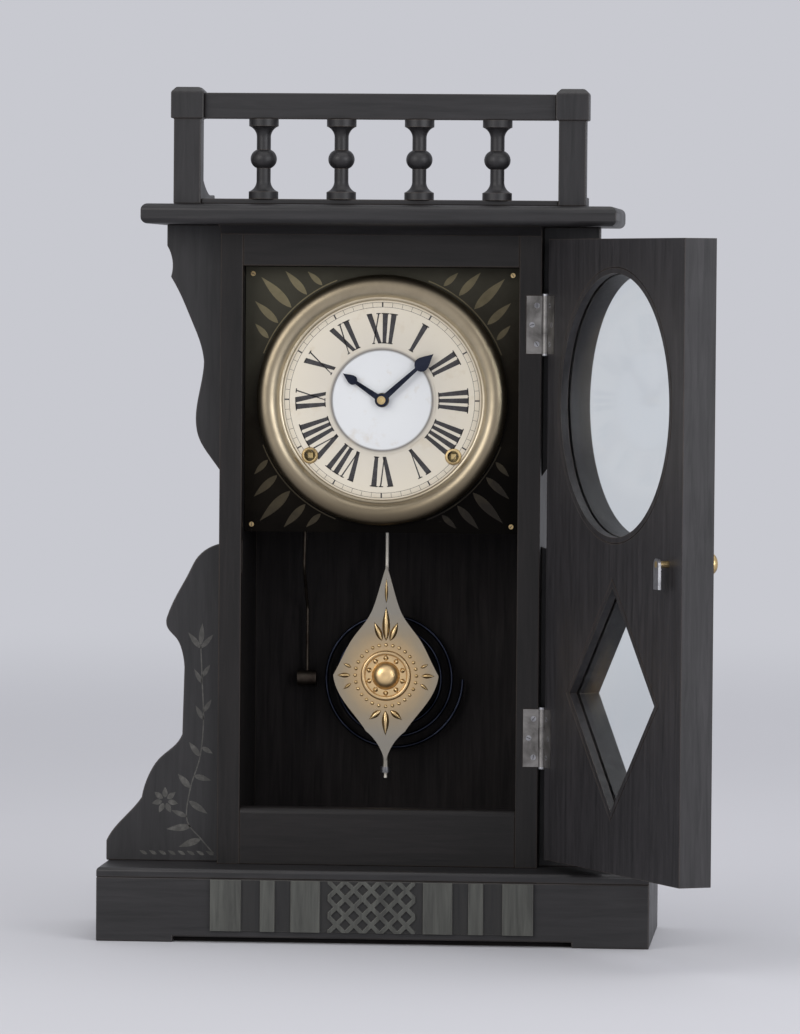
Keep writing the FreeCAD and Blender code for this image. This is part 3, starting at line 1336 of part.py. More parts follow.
def make_plates():
    """Both movement plates with their bores, windows and lugs, and the pillars between them."""
    half = at.plate_width.value / 2
    top = at.plate_top.value
    bottom = -at.plate_bottom.value
    corner = at.plate_corner.value
    lug = at.lug_length.value
    inset = at.lug_inset.value
    tall = at.lug_height.value
    right_side = [
        (half - corner, bottom), (half, bottom + corner), (half, bottom + inset),
        (half + lug, bottom + inset), (half + lug, bottom + inset + tall),
        (half, bottom + inset + tall), (half, top - inset - tall),
        (half + lug, top - inset - tall), (half + lug, top - inset), (half, top - inset),
        (half, top - corner), (half - corner, top)]
    plain_side = [(half - corner, bottom), (half, bottom + corner), (half, top - corner),
                  (half - corner, top)]
    near = at.window_near.value
    far = at.window_far.value
    low = at.window_low.value
    high = at.window_high.value
    windows = [[(x, low), (x + far - near, low), (x + far - near, high), (x, high)]
               for x in (-far, near)]
    play = at.running_play
    slim = at.pivot_radius + play
    stout = at.arbor_radius + play
    pivots = [time_second_place, third_place, escape_place, strike_second_place, pin_place,
              warning_place, fly_place]
    front_holes = [(place, slim) for place in pivots + [verge_place, hammer_place]]
    front_holes += [(place, at.winding_arbor_radius + play)
                    for place in (time_great_place, strike_great_place)]
    front_holes.append((centre_place, stout))
    rear_holes = [(place, slim) for place in pivots + [
        time_great_place, strike_great_place, centre_place]]
    rear_holes += [(place, stout) for place in (verge_place, hammer_place)]
    riveted = [(place, at.pillar_radius / 2) for place in pillar_places]
    stud = shaft(minute_place, at.stud_radius, hour_y - at.end_play, plate_front)
    for name, side, holes, start, extra in (
            ("movement_front", right_side, front_holes, plate_front, [stud]),
            ("movement_back", plain_side, rear_holes, rear_plate_inner, [])):
        corners = side + [(-x, z) for x, z in reversed(side)]
        solid = plate_of(corners, windows, at.plate_wall)
        solid.translate(spot(0, start, 0))
        drills = [shaft(place, radius, start - at.overrun, start + at.plate_wall + at.overrun)
                  for place, radius in holes + riveted]
        solid = solid.cut(drills)
        if extra:
            solid = solid.fuse(extra)
        node(made(name, solid), name + "_plate")
    pillars = []
    for place in pillar_places:
        ends = (plate_front - at.plate_wall, rear_plate_back + at.plate_wall)
        pieces = [
            shaft(place, at.pillar_radius / 2, ends[0], ends[1]),
            shaft(place, at.pillar_radius, plate_inner, rear_plate_inner),
            shaft(place, at.pillar_radius, ends[0], plate_front),
            shaft(place, at.pillar_radius, rear_plate_back, ends[1])]
        pillars.append(pieces[0].fuse(pieces[1:]))
    node(made("pillars", Part.Compound(pillars)), "plate_pillars")


def make_cleats():
    """Wooden cleats on the case sides. The dial plate and the movement's lugs sit on their steps."""
    low = dial_height - at.plate_bottom
    high = dial_height + at.plate_top
    lug_back = plate_inner
    inner = inner_half - at.cleat_width
    step = at.plate_width / 2 + at.lug_length + at.cleat_play
    cleats = []
    for side in (-1, 1):
        name = "cleat_right" if side > 0 else "cleat_left"
        parts = []
        for role, start, front, back in (
                ("deep", inner, lug_back, lug_back + at.cleat_behind),
                ("front", step, dial_back, lug_back)):
            span = (start, inner_half) if side > 0 else (-inner_half, -start)
            parts.append(board(name + "_" + role, span, (front, back), (low, high)))
        cleats.append(fuse(name, parts))
    node(group("cleats", cleats), "movement_cleats")


def make_time_train():
    """Wheels from the mainspring of the going side to the escape wheel."""
    teeth = at.count
    great = teeth("great_teeth")
    small = teeth("pinion_teeth")
    phases = {}
    second_wall = at.wheel_wall
    phases["great"] = 0.0
    way = way_between(time_great_place, time_second_place)
    phases["second"] = meshed_phase(way, phases["great"], great, small)
    way = way_between(time_second_place, centre_place)
    phases["centre"] = meshed_phase(way, phases["second"], teeth("second_teeth"), small)
    way = way_between(centre_place, third_place)
    phases["third"] = meshed_phase(way, phases["centre"], teeth("centre_teeth"), small)
    way = way_between(third_place, escape_place)
    phases["escape"] = meshed_phase(way, phases["third"], teeth("third_teeth"), small)
    winding_arbor("time_great", time_great_place, phases["great"])
    one_solid("time_second", "time_second_wheel", between_plates(time_second_place, at.arbor_radius) + [
        wheel(time_second_place, teeth("second_teeth"), at.great_module, phases["second"],
              second_y, second_wall),
        pinion(time_second_place, small, at.great_module, phases["second"], great_y,
               at.great_wheel_wall)])
    cannon_end = minute_hand_back - at.hand_wall
    nut_end = cannon_end - at.hand_nut_wall
    body = [
        shaft(centre_place, at.arbor_radius, nut_end, rear_plate_inner - at.end_play),
        shaft(centre_place, at.pivot_radius, rear_plate_inner - at.overrun, rear_plate_back),
        shaft(centre_place, cannon_radius, cannon_end, plate_front - at.end_play),
        wheel(centre_place, teeth("centre_teeth"), at.train_module, phases["centre"], centre_y,
              second_wall),
        pinion(centre_place, small, at.great_module, phases["centre"], second_y, second_wall),
        pinion(centre_place, teeth("cannon_teeth"), at.motion_module, 0.0, minute_y,
               second_wall)]
    one_solid("centre", "centre_wheel", body)
    one_solid("third", "third_wheel", between_plates(third_place, at.arbor_radius) + [
        wheel(third_place, teeth("third_teeth"), at.train_module, phases["third"], third_y,
              second_wall),
        pinion(third_place, small, at.train_module, phases["third"], centre_y, second_wall)])
    saw = escape_ring()
    root = at.escape_radius.value - at.escape_tooth.value
    saw_wheel = plate_of(saw, crossing_openings(root), second_wall)
    saw_wheel.translate(spot(escape_place[0], escape_y, escape_place[1]))
    one_solid("escape", "escape_wheel", between_plates(escape_place, at.arbor_radius) + [
        saw_wheel,
        pinion(escape_place, small, at.train_module, phases["escape"], third_y, second_wall)])


def escape_ring():
    """Leaning pointed teeth. The entry pallet stands a quarter of a pitch from a point."""
    count = at.count("escape_teeth")
    step = 2 * math.pi / count
    tip = at.escape_radius.value
    root = tip - at.escape_tooth.value
    start = math.radians(half_turn - quarter_turn / 2) + step / 4
    corners = []
    for index in range(count):
        middle = start + index * step
        lean = middle - ESCAPE_LEAN_SHARE * step
        for radius, angle in ((root, lean - ESCAPE_ROOT_SHARE * step), (tip, middle),
                              (root, lean + ESCAPE_ROOT_SHARE * step)):
            corners.append((radius * math.cos(angle), radius * math.sin(angle)))
    return corners


def winding_arbor(name, place, phase):
    """A great wheel on its winding arbor, with the square that the key turns."""
    front = dial_front + at.square_reach
    hub = at.spring_coil_inner - at.cleat_play
    square = at.square_side.value
    block = Part.makeBox(square, float(plate_front - front), square,
                         spot(place[0] - square / 2, front, place[1] - square / 2))
    one_solid(name, name + "_wheel", [
        shaft(place, at.winding_arbor_radius, plate_front - at.end_play,
              rear_plate_inner - at.end_play),
        shaft(place, at.pivot_radius, rear_plate_inner - at.overrun, rear_plate_back),
        shaft(place, hub, mainspring_y, mainspring_y + at.spring_coil_height),
        wheel(place, at.count("great_teeth"), at.great_module, phase, great_y, at.great_wheel_wall),
        block])


def make_verge():
    """Anchor with its two pallets, and the crutch behind the back plate."""
    u = math.sqrt(0.5)
    near = at.escape_radius.value + at.pallet_clearance.value
    far = near + at.pallet_width.value * 2
    pieces = [
        shaft(verge_place, at.pivot_radius, plate_front, plate_inner + at.overrun),
        shaft(verge_place, at.arbor_radius, plate_inner + at.end_play,
              crutch_y + at.crutch_radius * CRUTCH_HUB_SHARE),
        shaft(verge_place, at.hub_radius, escape_y, escape_y + at.wheel_wall)]
    for side in (-1, 1):
        foot = (side * near * u, at.escape_rise.value + near * u)
        head = (side * far * u, at.escape_rise.value + far * u)
        pieces.append(bar(foot, head, at.pallet_width, escape_y, at.wheel_wall))
        pieces.append(bar(verge_place, head, at.anchor_width, escape_y, at.wheel_wall))
    end = (0, verge_place[1] - at.crutch_length.value)
    middle = crutch_y + at.crutch_radius
    pieces.append(strut(spot(0, middle, verge_place[1]), spot(0, middle, end[1]), at.crutch_radius))
    pieces.append(shaft(verge_place, at.arbor_radius * 2, crutch_y, crutch_y + at.crutch_radius * 2))
    prong = at.crutch_radius * PRONG_SHARE
    inner = at.rod_radius + at.fork_play
    outer = inner + prong
    height = (at.crutch_radius * 2).value
    pieces.append(Part.makeBox((outer * 2).value, height, height,
                               spot(-outer, crutch_y, end[1] - height)))
    reach = float(pendulum_y + at.rod_radius * 2 - crutch_y)
    for start in (-outer, inner):
        pieces.append(Part.makeBox(prong.value, reach, height,
                                   spot(start, crutch_y, end[1] - height)))
    one_solid("verge", "verge_and_crutch", pieces)


def make_motion_work():
    """Minute wheel and hour wheel in front of the plates."""
    teeth = at.count
    wall = at.wheel_wall
    way = way_between(centre_place, minute_place)
    phase = meshed_phase(way, 0.0, teeth("cannon_teeth"), teeth("minute_teeth"))
    back_way = way_between(minute_place, centre_place)
    hour_phase = meshed_phase(back_way, phase, teeth("minute_pinion_teeth"), teeth("hour_teeth"))
    bore = at.stud_radius + at.running_play
    root = pitch_radius(teeth("minute_pinion_teeth"), at.motion_module)
    root -= DEDENDUM_SHARE * at.motion_module.value
    pieces = [
        wheel(minute_place, teeth("minute_teeth"), at.motion_module, phase, minute_y, wall),
        pinion(minute_place, teeth("minute_pinion_teeth"), at.motion_module, phase, hour_y, wall),
        shaft(minute_place, root, hour_y, minute_y)]
    drill = shaft(minute_place, bore, hour_y - at.overrun, plate_front)
    node(made("minute", pieces[0].fuse(pieces[1:]).cut(drill)), "minute_wheel")
    pieces = [
        wheel(centre_place, teeth("hour_teeth"), at.motion_module, hour_phase, hour_y, wall),
        shaft(centre_place, hour_pipe_radius, hour_hand_back - at.hand_wall, hour_y + wall)]
    drill = shaft(centre_place, hour_bore, minute_hand_back, plate_front)
    node(made("hour", pieces[0].fuse(pieces[1:]).cut(drill)), "hour_wheel")


def make_strike_train():
    """Wheels from the mainspring of the striking side to the fly."""
    teeth = at.count
    small = teeth("pinion_teeth")
    wall = at.wheel_wall
    way = way_between(strike_great_place, strike_second_place)
    second = meshed_phase(way, 0.0, teeth("great_teeth"), small)
    way = way_between(strike_second_place, pin_place)
    pins = meshed_phase(way, second, teeth("strike_second_teeth"), small)
    way = way_between(pin_place, warning_place)
    warning = meshed_phase(way, pins, teeth("third_teeth"), small)
    way = way_between(warning_place, fly_place)
    fly = meshed_phase(way, warning, teeth("warning_teeth"), small)
    winding_arbor("strike_great", strike_great_place, 0.0)
    one_solid("strike_second", "strike_second_wheel", between_plates(
        strike_second_place, at.arbor_radius) + [
        wheel(strike_second_place, teeth("strike_second_teeth"), at.train_module, second, second_y,
              wall),
        pinion(strike_second_place, small, at.great_module, second, great_y, at.great_wheel_wall)])
    pieces = between_plates(pin_place, at.arbor_radius) + [
        wheel(pin_place, teeth("third_teeth"), at.train_module, pins, pin_y, wall),
        shaft(pin_place, at.pin_circle + at.lifting_pin * 2, pin_y, pin_y + wall),
        pinion(pin_place, small, at.train_module, pins, second_y, wall)]
    count = teeth("lifting_pins")
    for index in range(count):
        place = toward(pin_place, at.pin_circle, full_turn * (index + 0.5) / count)
        pieces.append(shaft(place, at.lifting_pin, pin_y, pin_y + wall + at.pin_length))
    one_solid("pins", "pin_wheel", pieces)
    one_solid("warning", "warning_wheel", between_plates(warning_place, at.arbor_radius) + [
        wheel(warning_place, teeth("warning_teeth"), at.train_module, warning, third_y, wall),
        pinion(warning_place, small, at.train_module, warning, pin_y, wall)])
    vane_y = third_y + wall + at.pinion_overlap * 2
    left = toward(fly_place, at.fly_width / 2, at.fly_way)
    right = toward(fly_place, at.fly_width / 2, at.fly_way + half_turn)
    one_solid("fly_body", "fly", between_plates(fly_place, at.arbor_radius) + [
        pinion(fly_place, small, at.train_module, fly, third_y, wall),
        bar(left, right, at.fly_wall, vane_y, at.fly_height)])


def make_hammer(gong_left):
    """Arbor, tail beside the lifting pins, wire and head. The head rests a little off the gong."""
    wire = at.hammer_wire
    behind = rear_plate_back + at.crutch_stand + wire * 2
    tail_y = pin_y + at.wheel_wall + at.hammer_tail_play
    gap = at.pin_circle + at.lifting_pin + at.hammer_tail_play
    way = math.degrees(way_between(hammer_place, pin_place))
    apart = math.hypot(pin_place[0] - hammer_place[0], pin_place[1] - hammer_place[1])
    tip = toward(hammer_place, apart - gap.value, way)
    face_x = gong_left - at.hammer_gap.value
    middle_x = face_x - at.hammer_length.value / 2
    head_z = at.gong_height.value
    top = spot(hammer_place[0], behind, hammer_place[1])
    knee = FreeCAD.Vector(middle_x, behind.value, (at.bob_height + at.hammer_bend).value)
    heel = FreeCAD.Vector(middle_x, gong_y.value, knee.z - float(gong_y - behind))
    head = FreeCAD.Vector(middle_x, gong_y.value, head_z)
    one_solid("hammer_body", "hammer", [
        shaft(hammer_place, at.arbor_radius, plate_inner + at.end_play, behind + wire * 2),
        shaft(hammer_place, at.pivot_radius, plate_front, plate_inner + at.overrun),
        shaft(hammer_place, at.arbor_radius * 2, behind - wire * WIRE_GRIP_SHARE, behind + wire * 2),
        bar(hammer_place, tip, at.anchor_width, tail_y, at.wheel_wall),
        bent_wire([top, knee, heel, head], wire, at.hammer_length.value / 2),
        Part.makeCylinder(at.hammer_radius.value, at.hammer_length.value,
                          FreeCAD.Vector(face_x - at.hammer_length.value, head.y, head.z), X_AXIS)])


def half_turns(inner, pitch, turns):
    """A coil from half circles: (centre x, radius, start angle) one after another."""
    steps = []
    for index in range(2 * turns):
        turn = index // 2
        if index % 2:
            steps.append((pitch / 2, inner + pitch / 2 + turn * pitch, half_turn))
        else:
            steps.append((0.0, inner + turn * pitch, 0))
    return steps


def half_circle(centre_x, radius, start, height):
    """An arc of half a turn in the plane of the plates, from an angle in degrees."""
    points = []
    for angle in (start, start + quarter_turn, start + half_turn):
        turned_to = math.radians(angle)
        points.append(FreeCAD.Vector(centre_x + radius * math.cos(turned_to), 0,
                                     height + radius * math.sin(turned_to)))
    return Part.Arc(*points)


def make_mainsprings():
    """Two coiled strips. A straight tail runs from each outer coil to the pillar that holds it."""
    wall = at.spring_coil_wall.value
    inner = at.spring_coil_inner.value + wall / 2
    pitch = at.spring_coil_pitch.value
    turns = at.count("mainspring_turns")
    steps = half_turns(inner, pitch, turns)
    last_x, last_radius = steps[-1][0], steps[-1][1]
    end_x = last_x + last_radius
    edges = []
    for offset in (wall / 2, -wall / 2):
        for centre_x, radius, start in steps:
            edges.append(half_circle(centre_x, radius + offset, start, 0).toShape())
    pillar = pillar_places[-1]
    apart = math.hypot(pillar[0] - time_great_place[0], pillar[1] - time_great_place[1])
    inner_face = end_x - wall / 2
    aside = inner_face - at.pillar_radius.value
    tail = math.sqrt(apart ** 2 - aside ** 2)
    ends = [
        ((end_x + wall / 2, 0), (end_x + wall / 2, tail)),
        ((end_x + wall / 2, tail), (inner_face, tail)),
        ((inner_face, tail), (inner_face, 0)),
        ((steps[0][1] + wall / 2, 0), (steps[0][1] - wall / 2, 0))]
    for start, end in ends:
        edges.append(Part.LineSegment(FreeCAD.Vector(start[0], 0, start[1]),
                                      FreeCAD.Vector(end[0], 0, end[1])).toShape())
    wire = Part.Wire(Part.__sortEdges__(edges))
    strip = Part.Face(wire).extrude(Y_AXIS * at.spring_coil_height.value)
    turn = math.degrees(way_between(time_great_place, pillar)) - math.degrees(math.atan2(tail, aside))
    strip.rotate(FreeCAD.Vector(0, 0, 0), Y_AXIS, -turn)
    right = strip.copy()
    right.translate(spot(time_great_place[0], mainspring_y, time_great_place[1]))
    left = right.mirror(FreeCAD.Vector(0, 0, 0), X_AXIS)
    node(made("mainspring_pair", Part.Compound([left, right])), "mainsprings")


def make_suspension():
    """Cock, suspension spring and pendulum rod."""
    low = at.cock_foot.value + verge_place[1]
    high = at.cock_rise.value + verge_place[1]
    foot_half = at.cock_width.value / 2
    chop = at.cock_chop.value
    arm_half = chop / 2
    back = pendulum_y + at.cock_chop / 2
    foot = Part.makeBox(foot_half * 2, at.plate_wall.value, high - low,
                        spot(-foot_half, rear_plate_back, low))
    arm = Part.makeBox(arm_half * 2, float(back - rear_plate_back), high - low,
                       spot(-arm_half, rear_plate_back, low))
    one_solid("cock", "suspension_cock", [foot, arm])
    top = dial_height + low - at.spring_play
    spring = board("suspension_strip", (-(at.spring_wall / 2), at.spring_wall / 2),
                   (pendulum_y - at.spring_width / 2, pendulum_y + at.spring_width / 2),
                   (top - at.spring_length, top))
    node(spring, "suspension_spring")
    block_top = top - at.spring_length
    block_half = at.rod_radius * BLOCK_SHARE
    block = board("rod_block", (-block_half, block_half),
                  (pendulum_y - at.spring_width / 2, pendulum_y + at.spring_width / 2),
                  (block_top - at.spring_width, block_top))
    rod_low = at.bob_height - at.bob_bottom - at.rod_end
    wire = rod("rod_wire", at.rod_radius, block_top - at.spring_width / 2 - rod_low,
               (0, pendulum_y, rod_low))
    node(fuse("rod_all", [block, wire]), "pendulum_rod")


def make_bob():
    """Ornamental plate in front of the rod, with a boss, a ring and a sleeve that slides on the rod."""
    half = at.bob_width / 2

    def place(share):
        u, v = share
        height = at.bob_top * v if v > 0 else at.bob_bottom * v
        return (half * u, at.bob_height + height)

    right = [
        (0, at.bob_height + at.bob_top),
        (half, at.bob_height, [place(share) for share in BOB_SHOULDER_SHARES]),
        place(BOB_NOTCH_SHARES) + ([place(share) for share in BOB_LOBE_SHARES],),
        (0, at.bob_height - at.bob_bottom, [place(share) for share in BOB_SKIRT_SHARES])]
    flipped = mirrored(right)
    corners = [(0, at.bob_height + at.bob_top) + flipped[3][2:]] + right[1:] + flipped[1:3]
    sleeve_radius = at.rod_radius * BOB_SLEEVE_SHARE
    bore_radius = at.rod_radius + at.rod_play
    plate_back = pendulum_y - at.rod_radius * BOB_STAND_SHARE
    plate_start = plate_back - at.bob_wall
    plate = slab("bob_plate", corners, plate_start, at.bob_wall)
    dome_u, dome_v = BOB_DOME_SHARES
    boss = turned_forward("bob_dome", [
        (0, 0), (at.bob_boss, 0), (at.rod_radius, at.bob_boss / 2, [
            (at.bob_boss * dome_u, at.bob_boss * dome_v)]), (0, at.bob_boss / 2)],
        0, plate_start, at.bob_height)
    inner = at.bob_ring - at.bob_ring_wire
    outer = at.bob_ring + at.bob_ring_wire
    ring = turned_forward("bob_bead", [
        (inner, 0, [(at.bob_ring, at.bob_ring_wire)]), (outer, 0)],
        0, plate_start, at.bob_height)
    low = at.bob_height - at.bob_bottom - at.rod_radius
    length = at.bob_bottom + at.bob_ring
    sleeve = rod("bob_sleeve", sleeve_radius, length, (0, pendulum_y, low))
    bore = rod("bob_bore", bore_radius, length + at.overrun * 2,
               (0, pendulum_y, low - at.overrun))
    whole = fuse("bob_all", [plate, boss, ring, sleeve])
    node(cut("bob_cut", whole, [bore]), "pendulum_bob")
    nut_low = low - at.rating_nut_height
    nut = rod("nut_blank", at.rating_nut_radius, at.rating_nut_height, (0, pendulum_y, nut_low))
    nut_bore = rod("nut_bore", bore_radius, at.rating_nut_height + at.overrun * 2,
                   (0, pendulum_y, nut_low - at.overrun))
    node(cut("nut_cut", nut, [nut_bore]), "rating_nut")


def make_gong():
    """A coil of wire that starts on its stand's post, and the stand on the back board."""
    wire = at.gong_wire.value
    inner = at.gong_inner.value
    pitch = at.gong_pitch.value
    steps = half_turns(inner, pitch, at.count("gong_turns"))
    arcs = [half_circle(inner / 2, inner / 2, half_turn, 0)]
    arcs += [half_circle(centre_x, radius, start, 0) for centre_x, radius, start in steps]
    path = Part.Wire([arc.toShape() for arc in arcs])
    ring = Part.Circle(FreeCAD.Vector(0, 0, 0), Z_AXIS, wire)
    tube = path.makePipeShell([Part.Wire([ring.toShape()])], True, False)
    centre = FreeCAD.Vector(0, gong_y.value, at.gong_height.value)
    tube.translate(centre)
    post_radius = wire * GONG_POST_SHARE
    front = gong_y - at.gong_wire * 2
    base_y = back_face - at.gong_foot
    post = Part.makeCylinder(post_radius, float(base_y - front),
                             FreeCAD.Vector(0, front.value, centre.z), Y_AXIS)
    foot = Part.makeCylinder(at.gong_boss.value, at.gong_foot.value,
                             FreeCAD.Vector(0, base_y.value, centre.z), Y_AXIS)
    coil = made("gong_wire_coil", tube.cut(post))
    node(coil, "gong_coil")
    one_solid("gong_post", "gong_stand", [post, foot])
    print_coil_gap(arcs, wire)
    return coil.Shape.BoundBox.XMin


def print_coil_gap(arcs, wire):
    """Prints the least gap between two coils of the gong."""
    points = []
    for number, arc in enumerate(arcs):
        for step in range(ARC_STEPS):
            along = (arc.LastParameter - arc.FirstParameter) * step / ARC_STEPS
            points.append((number, arc.value(arc.FirstParameter + along)))
    least = min(
        first[1].distanceToPoint(second[1])
        for index, first in enumerate(points)
        for second in points[index + 1:]
        if second[0] - first[0] > 1)
    print("gong: least gap between coils %.2f mm" % (least - wire * 2))


def check_and_export():
    """Stops on a broken feature or piece, and then writes one file for each sub-part."""
    doc.recompute()
    for thing in doc.Objects:
        if "Invalid" in thing.State or "Error" in thing.State:
            raise RuntimeError("%s is broken: %s" % (thing.Name, thing.State))
    for thing in nodes:
        if thing.Shape.isNull() or not thing.Shape.isValid():
            raise RuntimeError("%s has no valid shape" % thing.Label)
    os.makedirs("parts", exist_ok=True)
    for thing in nodes:
        thing.Shape.exportStep("parts/%s.step" % thing.Label)
    print("%d sub-parts written" % len(nodes))


make_base()
make_frieze()
make_case()
make_cornice()
make_gallery()
make_wings()
make_door()
make_hinges()
make_latch()
make_dial()
make_hand("hour_hand", at.hour_hand_length, hour_hand_back, at.hour_hand_angle, hour_pipe_radius)
make_hand("minute_hand", at.minute_hand_length, minute_hand_back, at.minute_hand_angle,
          cannon_radius)
nut_back = minute_hand_back - at.hand_wall
node(turned_forward("nut_of_hands", [
    (at.arbor_radius, 0), (at.hand_nut_radius, 0), (at.hand_nut_radius, at.hand_nut_wall),
    (at.arbor_radius, at.hand_nut_wall)], 0, nut_back, dial_height), "hand_nut")
make_plates()
make_cleats()
make_time_train()
make_verge()
make_motion_work()
make_mainsprings()
make_strike_train()
make_suspension()
make_bob()
gong_left = make_gong()
make_hammer(gong_left)
check_and_export()
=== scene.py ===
import json
import math

import bmesh
import bpy
from mathutils import Matrix, Vector


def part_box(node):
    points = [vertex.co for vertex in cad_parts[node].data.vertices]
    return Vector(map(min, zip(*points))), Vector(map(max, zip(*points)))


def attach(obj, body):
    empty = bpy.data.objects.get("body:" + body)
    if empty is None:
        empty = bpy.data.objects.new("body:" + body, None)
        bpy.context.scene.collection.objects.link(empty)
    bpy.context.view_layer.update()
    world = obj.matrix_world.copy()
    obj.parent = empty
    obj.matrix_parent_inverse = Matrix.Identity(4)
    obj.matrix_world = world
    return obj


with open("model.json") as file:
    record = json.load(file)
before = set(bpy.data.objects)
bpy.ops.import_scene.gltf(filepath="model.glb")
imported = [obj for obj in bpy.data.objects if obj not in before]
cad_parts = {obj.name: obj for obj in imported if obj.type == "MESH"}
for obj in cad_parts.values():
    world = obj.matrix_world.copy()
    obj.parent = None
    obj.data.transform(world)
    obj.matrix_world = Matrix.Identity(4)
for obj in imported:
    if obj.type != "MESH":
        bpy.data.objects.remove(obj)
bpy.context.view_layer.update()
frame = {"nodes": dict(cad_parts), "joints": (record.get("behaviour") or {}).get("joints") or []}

# Metres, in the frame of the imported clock: x to the right, y to the back, z up.
MM = 0.001
scene = bpy.context.scene
nodes = frame["nodes"]

# The camera, fitted to the corners of the clock in the photograph
PHOTO_HEIGHT_PX = 1034
SENSOR_MM = 36.0
FOCAL_PX = 6336.8
CAMERA_DISTANCE = 4.0
CAMERA_HEIGHT = 0.4093
CAMERA_AROUND = math.radians(4.61)
CAMERA_AIM = math.radians(-0.13)
CAMERA_PITCH = math.radians(-2.10)
CAMERA_ROLL = math.radians(0.45)
CAMERA_CENTRE_Y = 0.015
CLIP_START = 0.05
CLIP_END = 50.0

# The dial and what is printed on it
plate_low, plate_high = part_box("dial_plate")
bezel_low, bezel_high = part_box("dial_bezel")
DIAL_Z = (bezel_low.z + bezel_high.z) / 2
BEZEL_OUTER = (bezel_high.x - bezel_low.x) / 2
FACE_WALL = 0.6 * MM
FACE_FRONT = plate_low.y - FACE_WALL
PRINT_WALL = 0.06 * MM
NUMERAL_INNER = 35.5 * MM
NUMERAL_OUTER = 54.5 * MM
NUMERAL_TALL = NUMERAL_OUTER - NUMERAL_INNER
NUMERAL_THICK = 2.8 * MM
NUMERAL_THIN = 0.75 * MM
NUMERAL_SERIF = 0.65 * MM
TRACK_INNER = 58.2 * MM
TRACK_OUTER = 61.2 * MM
TRACK_LINE = 0.22 * MM
TRACK_STEPS = 144

# The base's ornament: how far its ground and its bars lie behind the foremost point
FRIEZE_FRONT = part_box("base_frieze")[0].y
FRIEZE_GROUND = 1.4 * MM
FRIEZE_BARS = 0.2 * MM

# The pendulum's bob: its middle above its foot, and its plate behind the top of the boss
BOB_MIDDLE = 58.0 * MM
BOB_BOSS = 4.55 * MM
bob_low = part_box("pendulum_bob")[0]
BOB_Z = bob_low.z + BOB_MIDDLE
BOB_FRONT = bob_low.y + BOB_BOSS

WING_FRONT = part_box("lower_wings")[0].y

# The door's hinges, and how far each leaf lies from the axis when the door is shut
door_swing = next(joint for joint in frame["joints"] if joint["name"] == "door_swing")
HINGE_X, HINGE_Y = door_swing["pos_m"][:2]
DOOR_OPEN = -math.radians(door_swing["range_deg"][0])
LEAF_GAP = 0.2 * MM


def angles(count):
    """The angles of a full turn in equal steps."""
    return [2 * math.pi * index / count for index in range(count)]


def around(radius, angle):
    """Across and up from a centre, at an angle clockwise from the top."""
    return radius * math.sin(angle), radius * math.cos(angle)


def mesh_from(name, fill):
    """A mesh filled by a function that is given the empty bmesh."""
    mesh = bpy.data.meshes.new(name)
    form = bmesh.new()
    fill(form)
    bmesh.ops.recalc_face_normals(form, faces=form.faces)
    form.to_mesh(mesh)
    form.free()
    return mesh


def add_piece(name, fill, body, material):
    """Fills a mesh and puts it into the scene as a piece that rides on a body."""
    piece = bpy.data.objects.new(name, mesh_from(name, fill))
    scene.collection.objects.link(piece)
    piece.data.materials.append(material)
    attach(piece, body)
    return piece


def smooth(piece):
    """Shades a piece as one smooth surface."""
    for face in piece.data.polygons:
        face.use_smooth = True


def prism(form, corners, front, back):
    """A plate in the plane of the dial, from a front to a back place. Corners are (x, z)."""
    near = [form.verts.new((x, front, z)) for x, z in corners]
    far = [form.verts.new((x, back, z)) for x, z in corners]
    form.faces.new(near)
    form.faces.new(far[::-1])
    for index in range(len(corners)):
        form.faces.new((near[index - 1], near[index], far[index], far[index - 1]))


def rgb(red, green, blue):
    """An opaque colour, in linear light."""
    return (red, green, blue, 1.0)


BLACK = rgb(0, 0, 0)
WHITE = rgb(1, 1, 1)

# How much the noise of wood is squeezed along each axis: its grain runs where that is least
GRAIN = {"x": (6.0, 90.0, 90.0), "y": (90.0, 6.0, 90.0), "z": (90.0, 90.0, 6.0)}

# The sockets of a Mix node for colours, as it has each name several times
MIX_FACTOR = 0
MIX_FIRST = 6
MIX_SECOND = 7
MIX_RESULT = 2

SOCKETS = {"rough": "Roughness", "metal": "Metallic", "clear": "Transmission Weight",
           "ior": "IOR", "shine": "Specular IOR Level"}


